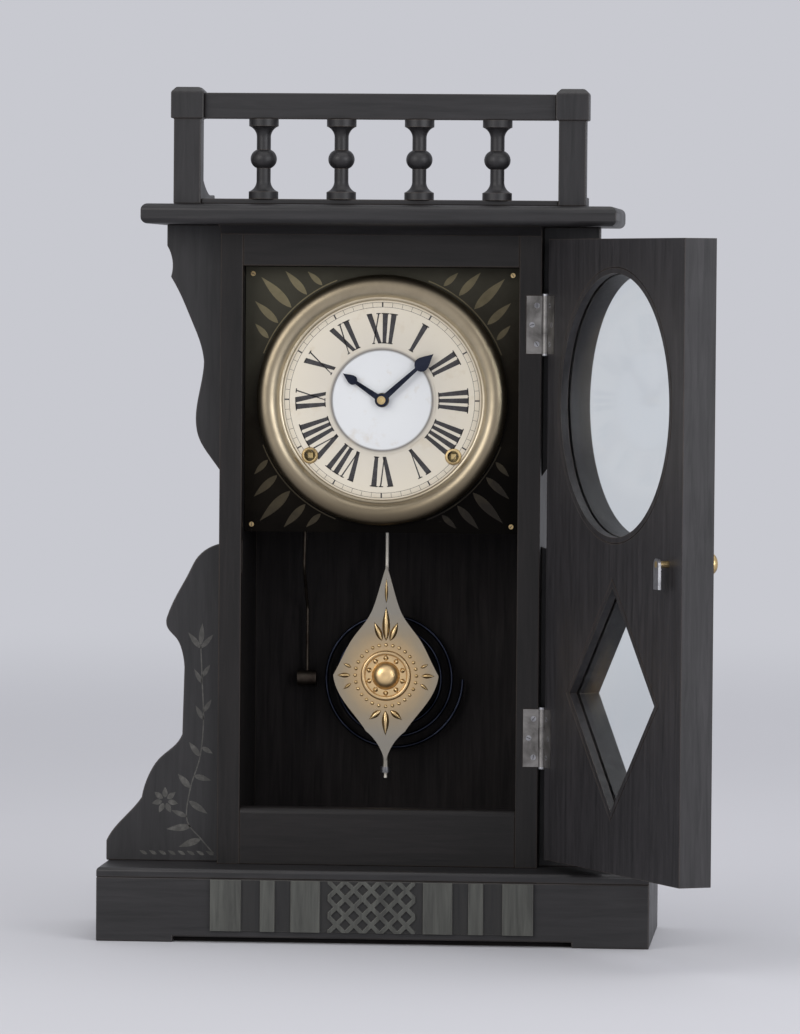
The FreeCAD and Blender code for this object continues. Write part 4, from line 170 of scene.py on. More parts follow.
class Graph:
    """A material's nodes, made one after another."""

    def __init__(self, name):
        self.material = bpy.data.materials.new(name)
        self.material.use_nodes = True
        self.tree = self.material.node_tree
        self.shader = self.tree.nodes["Principled BSDF"]

    def add(self, kind, **values):
        made = self.tree.nodes.new(kind)
        for name, value in values.items():
            setattr(made, name, value)
        return made

    def join(self, start, end):
        self.tree.links.new(start, end)

    def feed(self, source, socket):
        """Sets a socket to a number or a colour, or joins another node's socket to it."""
        if isinstance(source, (int, float, tuple)):
            socket.default_value = source
        else:
            self.join(source, socket)

    def set(self, **values):
        """Sets what is the same all over the surface."""
        for name, value in values.items():
            self.shader.inputs[SOCKETS[name]].default_value = value

    def colour(self, source):
        self.join(source, self.shader.inputs["Base Color"])

    def rough(self, source):
        self.join(source, self.shader.inputs["Roughness"])

    def place(self, scale=(1, 1, 1)):
        """Object coordinates, squeezed by a scale."""
        where = self.add("ShaderNodeTexCoord")
        mapping = self.add("ShaderNodeMapping")
        mapping.inputs["Scale"].default_value = scale
        self.join(where.outputs["Object"], mapping.inputs["Vector"])
        return mapping.outputs["Vector"]

    def parts(self):
        """Object coordinates one by one, named X, Y and Z."""
        split = self.add("ShaderNodeSeparateXYZ")
        self.join(self.place(), split.inputs["Vector"])
        return split.outputs

    def noise(self, vector, scale, detail=4.0, rough=0.55, twist=0.0):
        made = self.add("ShaderNodeTexNoise")
        made.inputs["Scale"].default_value = scale
        made.inputs["Detail"].default_value = detail
        made.inputs["Roughness"].default_value = rough
        made.inputs["Distortion"].default_value = twist
        self.join(vector, made.inputs["Vector"])
        return made.outputs["Fac"]

    def grain(self, axis):
        """The grain of wood along an axis."""
        return self.noise(self.place(GRAIN[axis]), scale=3.0, detail=8.0, rough=0.65, twist=0.6)

    def stain(self, scale, rough=0.6, twist=0.4):
        """The uneven tarnish of metal or lacquer."""
        return self.noise(self.place(), scale, detail=6.0, rough=rough, twist=twist)

    def ramp(self, factor, stops):
        made = self.add("ShaderNodeValToRGB")
        ramp = made.color_ramp
        while len(ramp.elements) < len(stops):
            ramp.elements.new(0.5)
        for element, (place, colour) in zip(ramp.elements, stops):
            element.position = place
            element.color = colour
        self.join(factor, made.inputs["Fac"])
        return made.outputs["Color"]

    def spread(self, factor, low, high):
        """A factor from 0 to 1 as a value between two others."""
        made = self.add("ShaderNodeMapRange")
        made.inputs["To Min"].default_value = low
        made.inputs["To Max"].default_value = high
        self.join(factor, made.inputs["Value"])
        return made.outputs["Result"]

    def reached(self, value, start, end, kind="LINEAR"):
        """How far a value has come from a start to an end, from 0 to 1."""
        made = self.add("ShaderNodeMapRange", interpolation_type=kind)
        made.inputs["From Min"].default_value = start
        made.inputs["From Max"].default_value = end
        self.join(value, made.inputs["Value"])
        return made.outputs["Result"]

    def mix(self, factor, first, second):
        made = self.add("ShaderNodeMix", data_type="RGBA")
        self.join(factor, made.inputs[MIX_FACTOR])
        self.feed(first, made.inputs[MIX_FIRST])
        self.feed(second, made.inputs[MIX_SECOND])
        return made.outputs[MIX_RESULT]

    def calc(self, operation, first, second=0.0):
        made = self.add("ShaderNodeMath", operation=operation)
        self.feed(first, made.inputs[0])
        self.feed(second, made.inputs[1])
        return made.outputs["Value"]

    def weighed(self, total, *terms):
        """A starting value and some others, each taken by its share."""
        for value, share in terms:
            total = self.calc("ADD", self.calc("MULTIPLY", value, share), total)
        return total

    def edges(self, radius, share):
        """Where the surface turns over an edge, from 0 to 1."""
        rounded = self.add("ShaderNodeBevel", samples=4)
        rounded.inputs["Radius"].default_value = radius
        flat = self.add("ShaderNodeNewGeometry")
        dot = self.add("ShaderNodeVectorMath", operation="DOT_PRODUCT")
        self.join(rounded.outputs["Normal"], dot.inputs[0])
        self.join(flat.outputs["Normal"], dot.inputs[1])
        apart = self.calc("SUBTRACT", 1.0, dot.outputs["Value"])
        return self.calc("MINIMUM", self.calc("MULTIPLY", apart, share), 1.0)

    def from_centre(self, height, reach):
        """Distance from an axis that runs to the back, as a share of a reach, and both parts of it."""
        where = self.parts()
        across = self.calc("DIVIDE", where["X"], reach)
        up = self.calc("DIVIDE", self.calc("SUBTRACT", where["Z"], height), reach)
        squares = self.calc("ADD", self.calc("MULTIPLY", across, across), self.calc("MULTIPLY", up, up))
        return self.calc("SQRT", squares), across, up

    def bump(self, height, distance, strength):
        made = self.add("ShaderNodeBump")
        made.inputs["Distance"].default_value = distance
        made.inputs["Strength"].default_value = strength
        self.join(height, made.inputs["Height"])
        self.join(made.outputs["Normal"], self.shader.inputs["Normal"])


# Woods: the colours of their grain, of rubbed edges, the range of their roughness, and their gloss
EDGE_BROWN = rgb(0.11, 0.075, 0.05)
EBONISED = {"dark": rgb(0.006, 0.0058, 0.0064), "light": rgb(0.020, 0.0185, 0.020),
            "worn": EDGE_BROWN, "rough": (0.36, 0.58), "shine": 0.42}
# The case's wood is a darker copy of the ebonised wood: painted shade on the case sides and rails, which
# stand inside the door.
CASE_WOOD_PAINTED_SHADE = {"dark": rgb(0.004, 0.0036, 0.0036), "light": rgb(0.013, 0.011, 0.011),
             "worn": EDGE_BROWN, "rough": (0.4, 0.62), "shine": 0.26}
# The door's wood is a lighter copy of the ebonised wood: painted light on the door's inner face and its
# glass beads.
DOOR_WOOD_PAINTED_LIGHT = {"dark": rgb(0.0108, 0.0104, 0.0115), "light": rgb(0.036, 0.0333, 0.036),
             "worn": EDGE_BROWN, "rough": (0.36, 0.58), "shine": 0.34}
# The inner wood is darkened to near black: painted shade on the boards inside the case and the base.
INNER_WOOD_PAINTED_SHADE = {"dark": rgb(0.0044, 0.0038, 0.0039), "light": rgb(0.0165, 0.0138, 0.0135),
              "worn": rgb(0.05, 0.035, 0.022), "rough": (0.6, 0.85), "shine": 0.12}


def make_wood(name, axis, dark, light, worn, rough, shine):
    """Stained and polished wood. Its grain runs along one axis, and its edges are rubbed."""
    graph = Graph("%s_%s" % (name, axis))
    grain = graph.grain(axis)
    colour = graph.ramp(grain, ((0.30, dark), (0.75, light)))
    cloud = graph.noise(graph.place(), scale=14.0, detail=3.0)
    edges = graph.edges(radius=1.0 * MM, share=6.0)
    rub = graph.calc("MULTIPLY", edges, graph.spread(cloud, low=-0.25, high=0.9))
    graph.colour(graph.mix(graph.calc("MAXIMUM", rub, 0.0), colour, worn))
    handled = graph.noise(graph.place(), scale=30.0, detail=5.0, rough=0.6)
    graph.rough(graph.spread(handled, *rough))
    graph.set(shine=shine)
    graph.bump(grain, distance=0.15 * MM, strength=0.5)
    return graph.material


# The base's ornament: its bars, their rubbed edges, and the ground between them
BAR_DARK = rgb(0.030, 0.030, 0.027)
BAR_LIGHT = rgb(0.075, 0.077, 0.068)
BAR_WORN = rgb(0.17, 0.165, 0.14)
GROUND_LIGHT = rgb(0.016, 0.015, 0.014)


def make_frieze_wood():
    """Applied ornament: the raised bars are a lighter grey, the ground between them stays black."""
    graph = Graph("frieze_wood")
    grain = graph.grain("z")
    rise = graph.reached(graph.parts()["Y"], FRIEZE_FRONT + FRIEZE_GROUND, FRIEZE_FRONT + FRIEZE_BARS)
    bars = graph.ramp(grain, ((0.30, BAR_DARK), (0.72, BAR_LIGHT)))
    ground = graph.ramp(grain, ((0.30, EBONISED["dark"]), (0.75, GROUND_LIGHT)))
    rub = graph.calc("MULTIPLY", graph.edges(radius=0.5 * MM, share=5.0), 0.6)
    graph.colour(graph.mix(rub, graph.mix(rise, ground, bars), BAR_WORN))
    graph.rough(graph.spread(grain, low=0.4, high=0.6))
    graph.set(shine=0.4)
    graph.bump(grain, distance=0.15 * MM, strength=0.5)
    return graph.material


# How much brighter metal is on a rubbed edge, and how much finer its small dents are than its stains
RUBBED_SHARE = 1.15
FINE_SHARE = 9


def make_metal(name, dull, bright, rough, size=60.0, metal=1.0):
    """Metal that has gone darker in places, brighter where an edge is rubbed."""
    graph = Graph(name)
    stain = graph.stain(size)
    colour = graph.ramp(stain, ((0.35, dull), (0.62, bright)))
    lit = rgb(*(min(1.0, part * RUBBED_SHARE) for part in bright[:3]))
    rub = graph.calc("MULTIPLY", graph.edges(radius=0.3 * MM, share=5.0), 0.7)
    graph.colour(graph.mix(rub, colour, lit))
    polished, dulled = rough
    graph.rough(graph.spread(stain, dulled, polished))
    graph.set(metal=metal)
    dents = graph.noise(graph.place(), scale=size * FINE_SHARE, detail=3.0)
    graph.bump(dents, distance=0.03 * MM, strength=0.35)
    return graph.material


# Colours by the distance from the dial's centre, as a share of a reach
FACE_REACH = 65 * MM
FACE_COLOURS = (
    (0.0, rgb(0.72, 0.735, 0.74)), (0.470, rgb(0.68, 0.69, 0.70)), (0.488, rgb(0.16, 0.145, 0.13)),
    (0.515, rgb(0.60, 0.555, 0.475)), (0.88, rgb(0.66, 0.605, 0.50)), (1.0, rgb(0.50, 0.43, 0.32)))
FACE_SPOTS = rgb(0.50, 0.40, 0.26)
BEZEL_REACH = 80 * MM
# The bezel's colours by that share: a painted highlight on the inner slope, then painted shade out over the
# roll.
BEZEL_HIGHLIGHT_AND_SHADE = (
    (0.80, rgb(0.80, 0.70, 0.52)), (0.86, rgb(0.52, 0.44, 0.31)), (0.91, rgb(0.34, 0.285, 0.20)),
    (0.97, rgb(0.22, 0.185, 0.13)))
# The brown of tarnish, which also darkens the lower half as painted shade.
BEZEL_TARNISH_AND_SHADE = rgb(0.10, 0.078, 0.05)


def make_dial_paint():
    """Ivory enamel, bluish inside the pressed ring, a little darker and browner towards the edge."""
    graph = Graph("dial_paint")
    share, _, _ = graph.from_centre(DIAL_Z, FACE_REACH)
    colour = graph.ramp(share, FACE_COLOURS)
    age = graph.noise(graph.place(), scale=70.0, detail=7.0, rough=0.65)
    spots = graph.ramp(age, ((0.58, BLACK), (0.72, WHITE)))
    graph.colour(graph.mix(graph.calc("MULTIPLY", spots, 0.35), colour, FACE_SPOTS))
    graph.rough(graph.spread(age, low=0.34, high=0.5))
    graph.bump(graph.noise(graph.place(), scale=900.0, detail=3.0), distance=0.02 * MM, strength=0.4)
    return graph.material


def make_bezel_metal():
    """Brass with real tarnish in patches, a painted highlight on its inner slope, and painted shade on the
    outer roll and the lower half.
    """
    graph = Graph("bezel_brass")
    share, _, up = graph.from_centre(DIAL_Z, BEZEL_REACH)
    colour = graph.ramp(share, BEZEL_HIGHLIGHT_AND_SHADE)
    stain = graph.stain(scale=60.0)
    # Painted shade: the lower half is darkened more towards the bottom.
    painted_shade_below = graph.calc("MAXIMUM", graph.calc("MULTIPLY", up, -1.0), 0.0)
    foot = graph.calc("MULTIPLY", painted_shade_below, 0.88)
    browned = graph.calc("MAXIMUM", graph.spread(stain, low=0.0, high=0.55), foot)
    graph.colour(graph.mix(browned, colour, BEZEL_TARNISH_AND_SHADE))
    graph.rough(graph.spread(stain, low=0.30, high=0.48))
    graph.set(metal=1.0)
    graph.bump(graph.noise(graph.place(), scale=500.0, detail=3.0), distance=0.03 * MM, strength=0.3)
    return graph.material


# Colours of the dial plate and its gilding, from the foot on the right to the head on the left. The
# darkening towards the foot and the right is painted shade.
PLATE_REACH = 86 * MM
LACQUER_AND_SHADE_COLOURS = ((0.18, rgb(0.0016, 0.0012, 0.0009)), (0.5, rgb(0.010, 0.008, 0.0055)),
                   (0.9, rgb(0.048, 0.045, 0.034)))
GILT_AND_SHADE_COLOURS = ((0.15, rgb(0.009, 0.0065, 0.004)), (0.5, rgb(0.052, 0.041, 0.022)),
                (0.95, rgb(0.17, 0.145, 0.085)))


def make_plate_lacquer():
    """Dark lacquer on the dial plate, with real stains in patches and painted shade that makes it browner
    and darker towards the foot and the right.
    """
    graph = Graph("plate_lacquer")
    _, across, up = graph.from_centre(DIAL_Z, PLATE_REACH)
    stain = graph.stain(scale=45.0, rough=0.62, twist=0.5)
    # Painted shade: darker towards the foot and the right, varied by the stain.
    shade = graph.weighed(0.38, (up, 0.38), (across, -0.10), (stain, 0.24))
    graph.colour(graph.ramp(shade, LACQUER_AND_SHADE_COLOURS))
    graph.rough(graph.spread(stain, low=0.5, high=0.7))
    graph.set(shine=0.03)
    graph.bump(graph.noise(graph.place(), scale=400.0), distance=0.03 * MM, strength=0.4)
    return graph.material


def make_gilt():
    """Gilding on the dial plate, with painted shade that darkens it towards the foot and the right."""
    graph = Graph("gilt")
    _, across, up = graph.from_centre(DIAL_Z, PLATE_REACH)
    stain = graph.stain(scale=120.0, rough=0.62, twist=0.5)
    # Painted shade: the gilding darkens towards the foot and the right, varied by the stain.
    left = graph.weighed(0.34, (up, 0.34), (across, -0.12), (stain, 0.35))
    graph.colour(graph.ramp(left, GILT_AND_SHADE_COLOURS))
    graph.rough(graph.spread(stain, low=0.4, high=0.6))
    graph.set(metal=0.3, shine=0.2)
    return graph.material


# Colours by the distance from the bob's middle, as a share of a reach: a painted highlight round the boss,
# greyer towards the points
BOB_REACH = 40 * MM
BOB_HIGHLIGHT_COLOURS = (
    (0.10, rgb(0.84, 0.60, 0.31)), (0.42, rgb(0.56, 0.40, 0.22)), (0.70, rgb(0.37, 0.305, 0.215)),
    (1.0, rgb(0.31, 0.287, 0.245)))


def make_bob_metal():
    """Gilt with a painted highlight round the boss, greyer towards the points."""
    graph = Graph("bob_metal")
    share, _, _ = graph.from_centre(BOB_Z, BOB_REACH)
    stain = graph.stain(scale=90.0)
    # Painted highlight: brightest at the middle, varied by the stain.
    worn = graph.calc("ADD", share, graph.spread(stain, low=-0.12, high=0.12))
    graph.colour(graph.ramp(worn, BOB_HIGHLIGHT_COLOURS))
    graph.rough(graph.spread(stain, low=0.28, high=0.48))
    graph.set(metal=1.0)
    graph.bump(graph.noise(graph.place(), scale=450.0), distance=0.04 * MM, strength=0.4)
    return graph.material


GLASS_COLOURS = ((0.2, rgb(0.935, 0.985, 0.99)), (0.8, rgb(0.97, 1.0, 1.0)))


def make_glass():
    """Old window glass, faintly blue, smeared and not quite flat. It bends light little."""
    graph = Graph("door_glass")
    smear = graph.noise(graph.place(), scale=25.0, detail=5.0, rough=0.6, twist=1.5)
    graph.colour(graph.ramp(smear, GLASS_COLOURS))
    graph.rough(graph.spread(smear, low=0.02, high=0.09))
    graph.set(clear=1.0, ior=1.12)
    graph.bump(graph.noise(graph.place(), scale=12.0, detail=2.0), distance=0.2 * MM, strength=0.15)
    return graph.material


# How much paler faded print is: a share of its colour, and a little more
PALE_SHARE = 2.2
PALE_LIFT = 0.02


def make_ink(name, colour):
    """Print or paint that has faded in small places."""
    graph = Graph(name)
    faded = graph.noise(graph.place(), scale=240.0, detail=6.0, rough=0.7)
    pale = rgb(*(part * PALE_SHARE + PALE_LIFT for part in colour[:3]))
    graph.colour(graph.ramp(faded, ((0.45, colour), (0.78, pale))))
    graph.rough(graph.spread(faded, low=0.4, high=0.65))
    return graph.material


ebony = {axis: make_wood("ebonised_wood", axis, **EBONISED) for axis in GRAIN}
# Painted shade: the case's darker copy of the ebonised wood.
case_painted_shade = {axis: make_wood("case_wood_painted_shade", axis, **CASE_WOOD_PAINTED_SHADE) for axis in GRAIN}
# Painted light: the door's lighter copy of the ebonised wood.
door_wood_painted_light = make_wood("door_wood_painted_light", "z", **DOOR_WOOD_PAINTED_LIGHT)
# Painted shade: the inner wood's near black copies.
inner = {axis: make_wood("inner_wood", axis, **INNER_WOOD_PAINTED_SHADE) for axis in GRAIN}
brass = make_metal("aged_brass", rgb(0.30, 0.21, 0.10), rgb(0.70, 0.53, 0.27), (0.28, 0.5))
gilt = make_gilt()
bob_gilt = make_metal("bob_gilt", rgb(0.46, 0.32, 0.15), rgb(0.76, 0.56, 0.30), (0.26, 0.42), size=90.0)
rod_metal = make_metal("rod_metal", rgb(0.62, 0.58, 0.50), rgb(0.88, 0.84, 0.75), (0.4, 0.6), metal=0.2)
hammer_metal = make_metal("hammer_metal", rgb(0.03, 0.022, 0.018), rgb(0.09, 0.075, 0.06), (0.4, 0.6))
steel = make_metal("steel", rgb(0.16, 0.16, 0.17), rgb(0.42, 0.42, 0.44), (0.28, 0.5))
hinge_metal = make_metal("hinge_metal", rgb(0.10, 0.095, 0.09), rgb(0.26, 0.25, 0.24), (0.35, 0.55))
blued_steel = make_metal("blued_steel", rgb(0.010, 0.012, 0.020), rgb(0.035, 0.04, 0.06), (0.25, 0.4))
train_brass = make_metal("train_brass", rgb(0.40, 0.29, 0.12), rgb(0.76, 0.58, 0.28), (0.25, 0.42))
iron = make_metal("japanned_iron", rgb(0.012, 0.012, 0.012), rgb(0.04, 0.04, 0.04), (0.35, 0.6), metal=0.2)
dial_paint = make_dial_paint()
bezel_metal = make_bezel_metal()
plate_lacquer = make_plate_lacquer()
bob_metal = make_bob_metal()
frieze_wood = make_frieze_wood()
glass = make_glass()
ink = make_ink("dial_ink", rgb(0.018, 0.016, 0.018))
spray_paint = make_ink("spray_paint", rgb(0.040, 0.038, 0.034))

# The finish of each CAD node. The wheels and plates that it doesn't name are train_brass.
FINISHES = {
    "base_front_panel": ebony["x"], "base_end_panels": ebony["y"], "base_top_board": ebony["x"],
    "base_frieze": frieze_wood, "base_floor_board": inner["x"], "base_back_panel": inner["x"],
    "case_side_left": case_painted_shade["z"], "case_side_right": case_painted_shade["z"], "case_back_board": inner["z"],
    "case_bottom_rail": case_painted_shade["x"], "case_top_rail": case_painted_shade["x"],
    "cornice_board": ebony["x"], "cornice_cove": ebony["x"],
    "gallery_posts": ebony["z"], "gallery_rails": ebony["x"], "gallery_balusters": ebony["z"],
    "gallery_side_rails": ebony["y"], "upper_wings": ebony["z"], "lower_wings": ebony["z"],
    "door_frame": door_wood_painted_light, "door_glass_beads": door_wood_painted_light, "movement_cleats": inner["z"],
    "door_glass_panes": glass, "door_knob": brass, "latch_tongue": steel,
    "hinge_case_leaves": hinge_metal, "hinge_door_leaves": hinge_metal, "hinge_pins": steel,
    "dial_plate": plate_lacquer, "dial_face": dial_paint, "dial_bezel": bezel_metal,
    "winding_grommets": brass, "hour_hand": blued_steel, "minute_hand": blued_steel,
    "hand_nut": brass, "pendulum_bob": bob_metal, "rating_nut": steel, "pendulum_rod": rod_metal,
    "suspension_spring": steel, "plate_pillars": steel, "verge_and_crutch": steel,
    "mainsprings": blued_steel, "hammer": hammer_metal, "gong_coil": blued_steel, "gong_stand": iron,
}

# The bevel on the edges of each board, in millimetres. Flat faces are joined before it and
# corners that meet are welded after it.
BEVELS = {
    "base_front_panel": 0.8, "base_end_panels": 0.8, "base_top_board": 0.5,
    "case_side_left": 0.8, "case_side_right": 0.8, "case_bottom_rail": 0.6, "case_top_rail": 0.6,
    "cornice_board": 0.5, "gallery_rails": 0.7, "gallery_posts": 0.7, "gallery_side_rails": 0.7,
    "upper_wings": 0.7, "lower_wings": 0.7, "door_frame": 0.7, "base_frieze": 0.25,
}
WELD_REACH = 0.001 * MM
CLOSE_REACH = 0.002 * MM
FLAT_ANGLE = math.radians(0.3)
BEVEL_ANGLE = math.radians(35)


def finish_nodes():
    """Gives each carried CAD node its material."""
    for label, node in nodes.items():
        node.data.materials.clear()
        node.data.materials.append(FINISHES.get(label, train_brass))


def bevel_boards():
    """Breaks the sharp edges of the boards."""
    for label, width in BEVELS.items():
        steps = nodes[label].modifiers
        steps.new("weld", "WELD").merge_threshold = WELD_REACH
        flat = steps.new("flat", "DECIMATE")
        flat.decimate_type = "DISSOLVE"
        flat.angle_limit = FLAT_ANGLE
        bevel = steps.new("bevel", "BEVEL")
        bevel.width = width * MM
        bevel.segments = 2
        bevel.limit_method = "ANGLE"
        bevel.angle_limit = BEVEL_ANGLE
        steps.new("close", "WELD").merge_threshold = CLOSE_REACH


# The dial's figures. Shares are of half the width of a letter, but for LETTER_SHARE, which is
# how much of its place a letter fills.
FIGURES = ("XII", "I", "II", "III", "IIII", "V", "VI", "VII", "VIII", "IX", "X", "XI")
LETTER_WIDTHS = {"I": 4.5 * MM, "V": 7.9 * MM, "X": 7.5 * MM}
LETTER_SHARE = 0.94
STEM_SERIF_SHARE = 0.98
LIMB_SHARE = 0.72
GAP_SHARE = 0.35
THICK_GAP_SHARE = 0.2


def letter_strokes(letter, width):
    """A letter's strokes as (start u, start v, end u, end v, thickness), where u runs across
    from its middle, and v from 0 at the foot to 1 at the head."""
    half = width / 2
    limb = half * LIMB_SHARE
    gap = half * GAP_SHARE
    serif = NUMERAL_SERIF
    foot = serif / 2 / NUMERAL_TALL
    head = 1 - foot
    if letter == "I":
        reach = half * STEM_SERIF_SHARE
        return [(0, 0, 0, 1, NUMERAL_THICK),
                (-reach, foot, reach, foot, serif), (-reach, head, reach, head, serif)]
    if letter == "V":
        return [(-limb, 1, 0, 0, NUMERAL_THICK), (limb, 1, 0, 0, NUMERAL_THIN),
                (-half, head, -half * THICK_GAP_SHARE, head, serif), (gap, head, half, head, serif)]
    return [(-limb, 1, limb, 0, NUMERAL_THICK), (limb, 1, -limb, 0, NUMERAL_THIN),
            (-half, head, -gap, head, serif), (gap, head, half, head, serif),
            (-half, foot, -gap, foot, serif), (gap, foot, half, foot, serif)]


def stroke_corners(u0, v0, u1, v1, thickness):
    """A stroke's corners. A stem or limb has level ends, and a serif has upright ones."""
    if v0 != v1:
        half = thickness / 2
        return [(u0 - half, v0), (u0 + half, v0), (u1 + half, v1), (u1 - half, v1)]
    half = thickness / 2 / NUMERAL_TALL
    return [(u0, v0 - half), (u1, v1 - half), (u1, v1 + half), (u0, v0 + half)]


def on_dial(angle, radius):
    """A place on the dial, at an angle clockwise from twelve."""
    across, up = around(radius, angle)
    return across, DIAL_Z + up


def make_numerals():
    """Roman figures that stand on the middle of the dial, tapered towards it."""
    mean = (NUMERAL_INNER + NUMERAL_OUTER) / 2

    def fill(form):
        for angle, figure in zip(angles(len(FIGURES)), FIGURES):
            start = -sum(LETTER_WIDTHS[letter] for letter in figure) / 2
            for letter in figure:
                width = LETTER_WIDTHS[letter]
                middle = start + width / 2
                start += width
                for stroke in letter_strokes(letter, width * LETTER_SHARE):
                    corners = [on_dial(angle + (middle + u) / mean, NUMERAL_INNER + v * NUMERAL_TALL)
                               for u, v in stroke_corners(*stroke)]
                    prism(form, corners, FACE_FRONT - PRINT_WALL, FACE_FRONT)

    add_piece("dial_numerals", fill, "case", ink)


def turned(form, profile, steps):
    """A ring turned about the dial's axis. The profile holds (radius, y)."""
    rows = []
    for radius, y in profile:
        places = [on_dial(angle, radius) for angle in angles(steps)]
        rows.append([form.verts.new((x, y, z)) for x, z in places])
    for index, row in enumerate(rows):
        following = rows[(index + 1) % len(rows)]
        for step in range(steps):
            onward = (step + 1) % steps
            form.faces.new((row[step], row[onward], following[onward], following[step]))


def make_minute_track():
    """Two thin rings with a mark for each minute, a broader one at each fifth."""
    front = FACE_FRONT - PRINT_WALL
    mean = (TRACK_INNER + TRACK_OUTER) / 2

    def fill(form):
        for radius in (TRACK_INNER, TRACK_OUTER):
            inner_edge = radius - TRACK_LINE / 2
            outer_edge = radius + TRACK_LINE / 2
            turned(form, [(inner_edge, front), (outer_edge, front), (outer_edge, FACE_FRONT),
                          (inner_edge, FACE_FRONT)], TRACK_STEPS)
        for minute, angle in enumerate(angles(60)):
            half = (TRACK_LINE * 2 if minute % 5 == 0 else TRACK_LINE / 2) / mean
            corners = [on_dial(angle - half, TRACK_INNER), on_dial(angle + half, TRACK_INNER),
                       on_dial(angle + half, TRACK_OUTER), on_dial(angle - half, TRACK_OUTER)]
            prism(form, corners, front, FACE_FRONT)

    add_piece("dial_minute_track", fill, "case", ink)


SIGHT_RING = [(62.4 * MM, FACE_FRONT), (62.9 * MM, FACE_FRONT - 0.5 * MM),
              (64.6 * MM, FACE_FRONT - 2.2 * MM), (64.9 * MM, FACE_FRONT)]
SIGHT_RING_STEPS = 96


def make_sight_ring():
    """The sloping ring inside the bezel that holds the face's edge. It takes the bezel's colours, whose
    painted highlight makes it bright.
    """
    smooth(add_piece("dial_sight_ring", lambda form: turned(form, SIGHT_RING, SIGHT_RING_STEPS),
                     "case", bezel_metal))


LEAF_STEPS = 10
LEAF_FULLNESS = 0.8


def leaf_rows(start, end, half):
    """How far along a pointed leaf each row lies, and its left edge, middle and right edge."""
    way = Vector((end[0] - start[0], end[1] - start[1]))
    side = Vector((-way.y, way.x)).normalized()
    rows = []
    for step in range(1, LEAF_STEPS):
        share = step / LEAF_STEPS
        swell = half * math.sin(math.pi * share ** LEAF_FULLNESS)
        middle = Vector(start) + way * share
        rows.append((share, middle + side * swell, middle, middle - side * swell))
    return rows


def leaf(form, start, end, half, front, back):
    """A pointed leaf between two places, as a thin plate."""
    rows = leaf_rows(start, end, half)
    left = [tuple(row[1]) for row in rows]
    right = [tuple(row[3]) for row in rows]
    prism(form, [tuple(start)] + left + [tuple(end)] + right[::-1], front, back)


def raised_leaf(form, start, end, half, front, rise):
    """A pointed leaf with a ridge along its middle."""
    first = form.verts.new((start[0], front, start[1]))
    last = form.verts.new((end[0], front, end[1]))
    rows = []
    for share, left, middle, right in leaf_rows(start, end, half):
        ridge = front - rise * math.sin(math.pi * share)
        rows.append((form.verts.new((left.x, front, left.y)),
                     form.verts.new((middle.x, ridge, middle.y)),
                     form.verts.new((right.x, front, right.y))))
    form.faces.new([first] + [row[0] for row in rows] + [last] + [row[2] for row in reversed(rows)])
    form.faces.new((first, rows[0][0], rows[0][1]))
    form.faces.new((first, rows[0][1], rows[0][2]))
    for lower, upper in zip(rows, rows[1:]):
        form.faces.new((lower[0], upper[0], upper[1], lower[1]))
        form.faces.new((lower[1], upper[1], upper[2], lower[2]))
    form.faces.new((rows[-1][0], last, rows[-1][1]))
    form.faces.new((rows[-1][1], last, rows[-1][2]))


def ribbon(form, points, width, front, back):
    """A thin line of one width along a run of places."""
    left, right = [], []
    for index, point in enumerate(points):
        before = Vector(points[max(index - 1, 0)])
        after = Vector(points[min(index + 1, len(points) - 1)])
        side = Vector((before.y - after.y, after.x - before.x)).normalized() * width / 2
        left.append(tuple(Vector(point) + side))
        right.append(tuple(Vector(point) - side))
    for index in range(len(points) - 1):
        prism(form, [left[index], left[index + 1], right[index + 1], right[index]], front, back)


def curve(points, steps=12):
    """A smooth run of places through a few given ones, by Catmull and Rom's formula."""
    knots = [points[0]] + list(points) + [points[-1]]
    run = []
    for index in range(1, len(knots) - 2):
        p0, p1, p2, p3 = (Vector(knot) for knot in knots[index - 1:index + 3])
        for step in range(steps):
            t = step / steps
            run.append(tuple(0.5 * (2 * p1 + (p2 - p0) * t + (2 * p0 - 5 * p1 + 4 * p2 - p3) * t * t
                                    + (3 * p1 - p0 - 3 * p2 + p3) * t ** 3)))
    return run + [tuple(points[-1])]


# Gilt corners of the dial plate: leaves in a fan, as degrees from its middle, length and half
# width in millimetres, and a thin line under them
CORNERS = (45, 135, 225, 315)
FAN_LEAVES = ((0, 27, 3.0), (9, 20, 2.4), (-9, 20, 2.4), (17, 12, 1.8), (-17, 12, 1.8))
FAN_INNER = BEZEL_OUTER + 2.5 * MM
FAN_LEAN_SHARE = -0.15
FAN_LINE = BEZEL_OUTER + 1.5 * MM
FAN_LINE_WIDTH = 0.7 * MM
FAN_LINE_DEGREES = range(-24, 25, 3)


def make_spandrels():
    """A fan of gilt leaves in each corner of the dial plate."""
    front = plate_low.y - PRINT_WALL

    def fill(form):
        for corner in CORNERS:
            middle = math.radians(corner)
            for degrees, length, half in FAN_LEAVES:
                lean = math.radians(degrees)
                root = on_dial(middle + lean, FAN_INNER)
                tip = on_dial(middle + lean + lean * FAN_LEAN_SHARE, FAN_INNER + length * MM)
                leaf(form, root, tip, half * MM, front, plate_low.y)
            line = [on_dial(middle + math.radians(degrees), FAN_LINE) for degrees in FAN_LINE_DEGREES]
            ribbon(form, line, FAN_LINE_WIDTH, front, plate_low.y)

    add_piece("dial_spandrels", fill, "case", gilt)


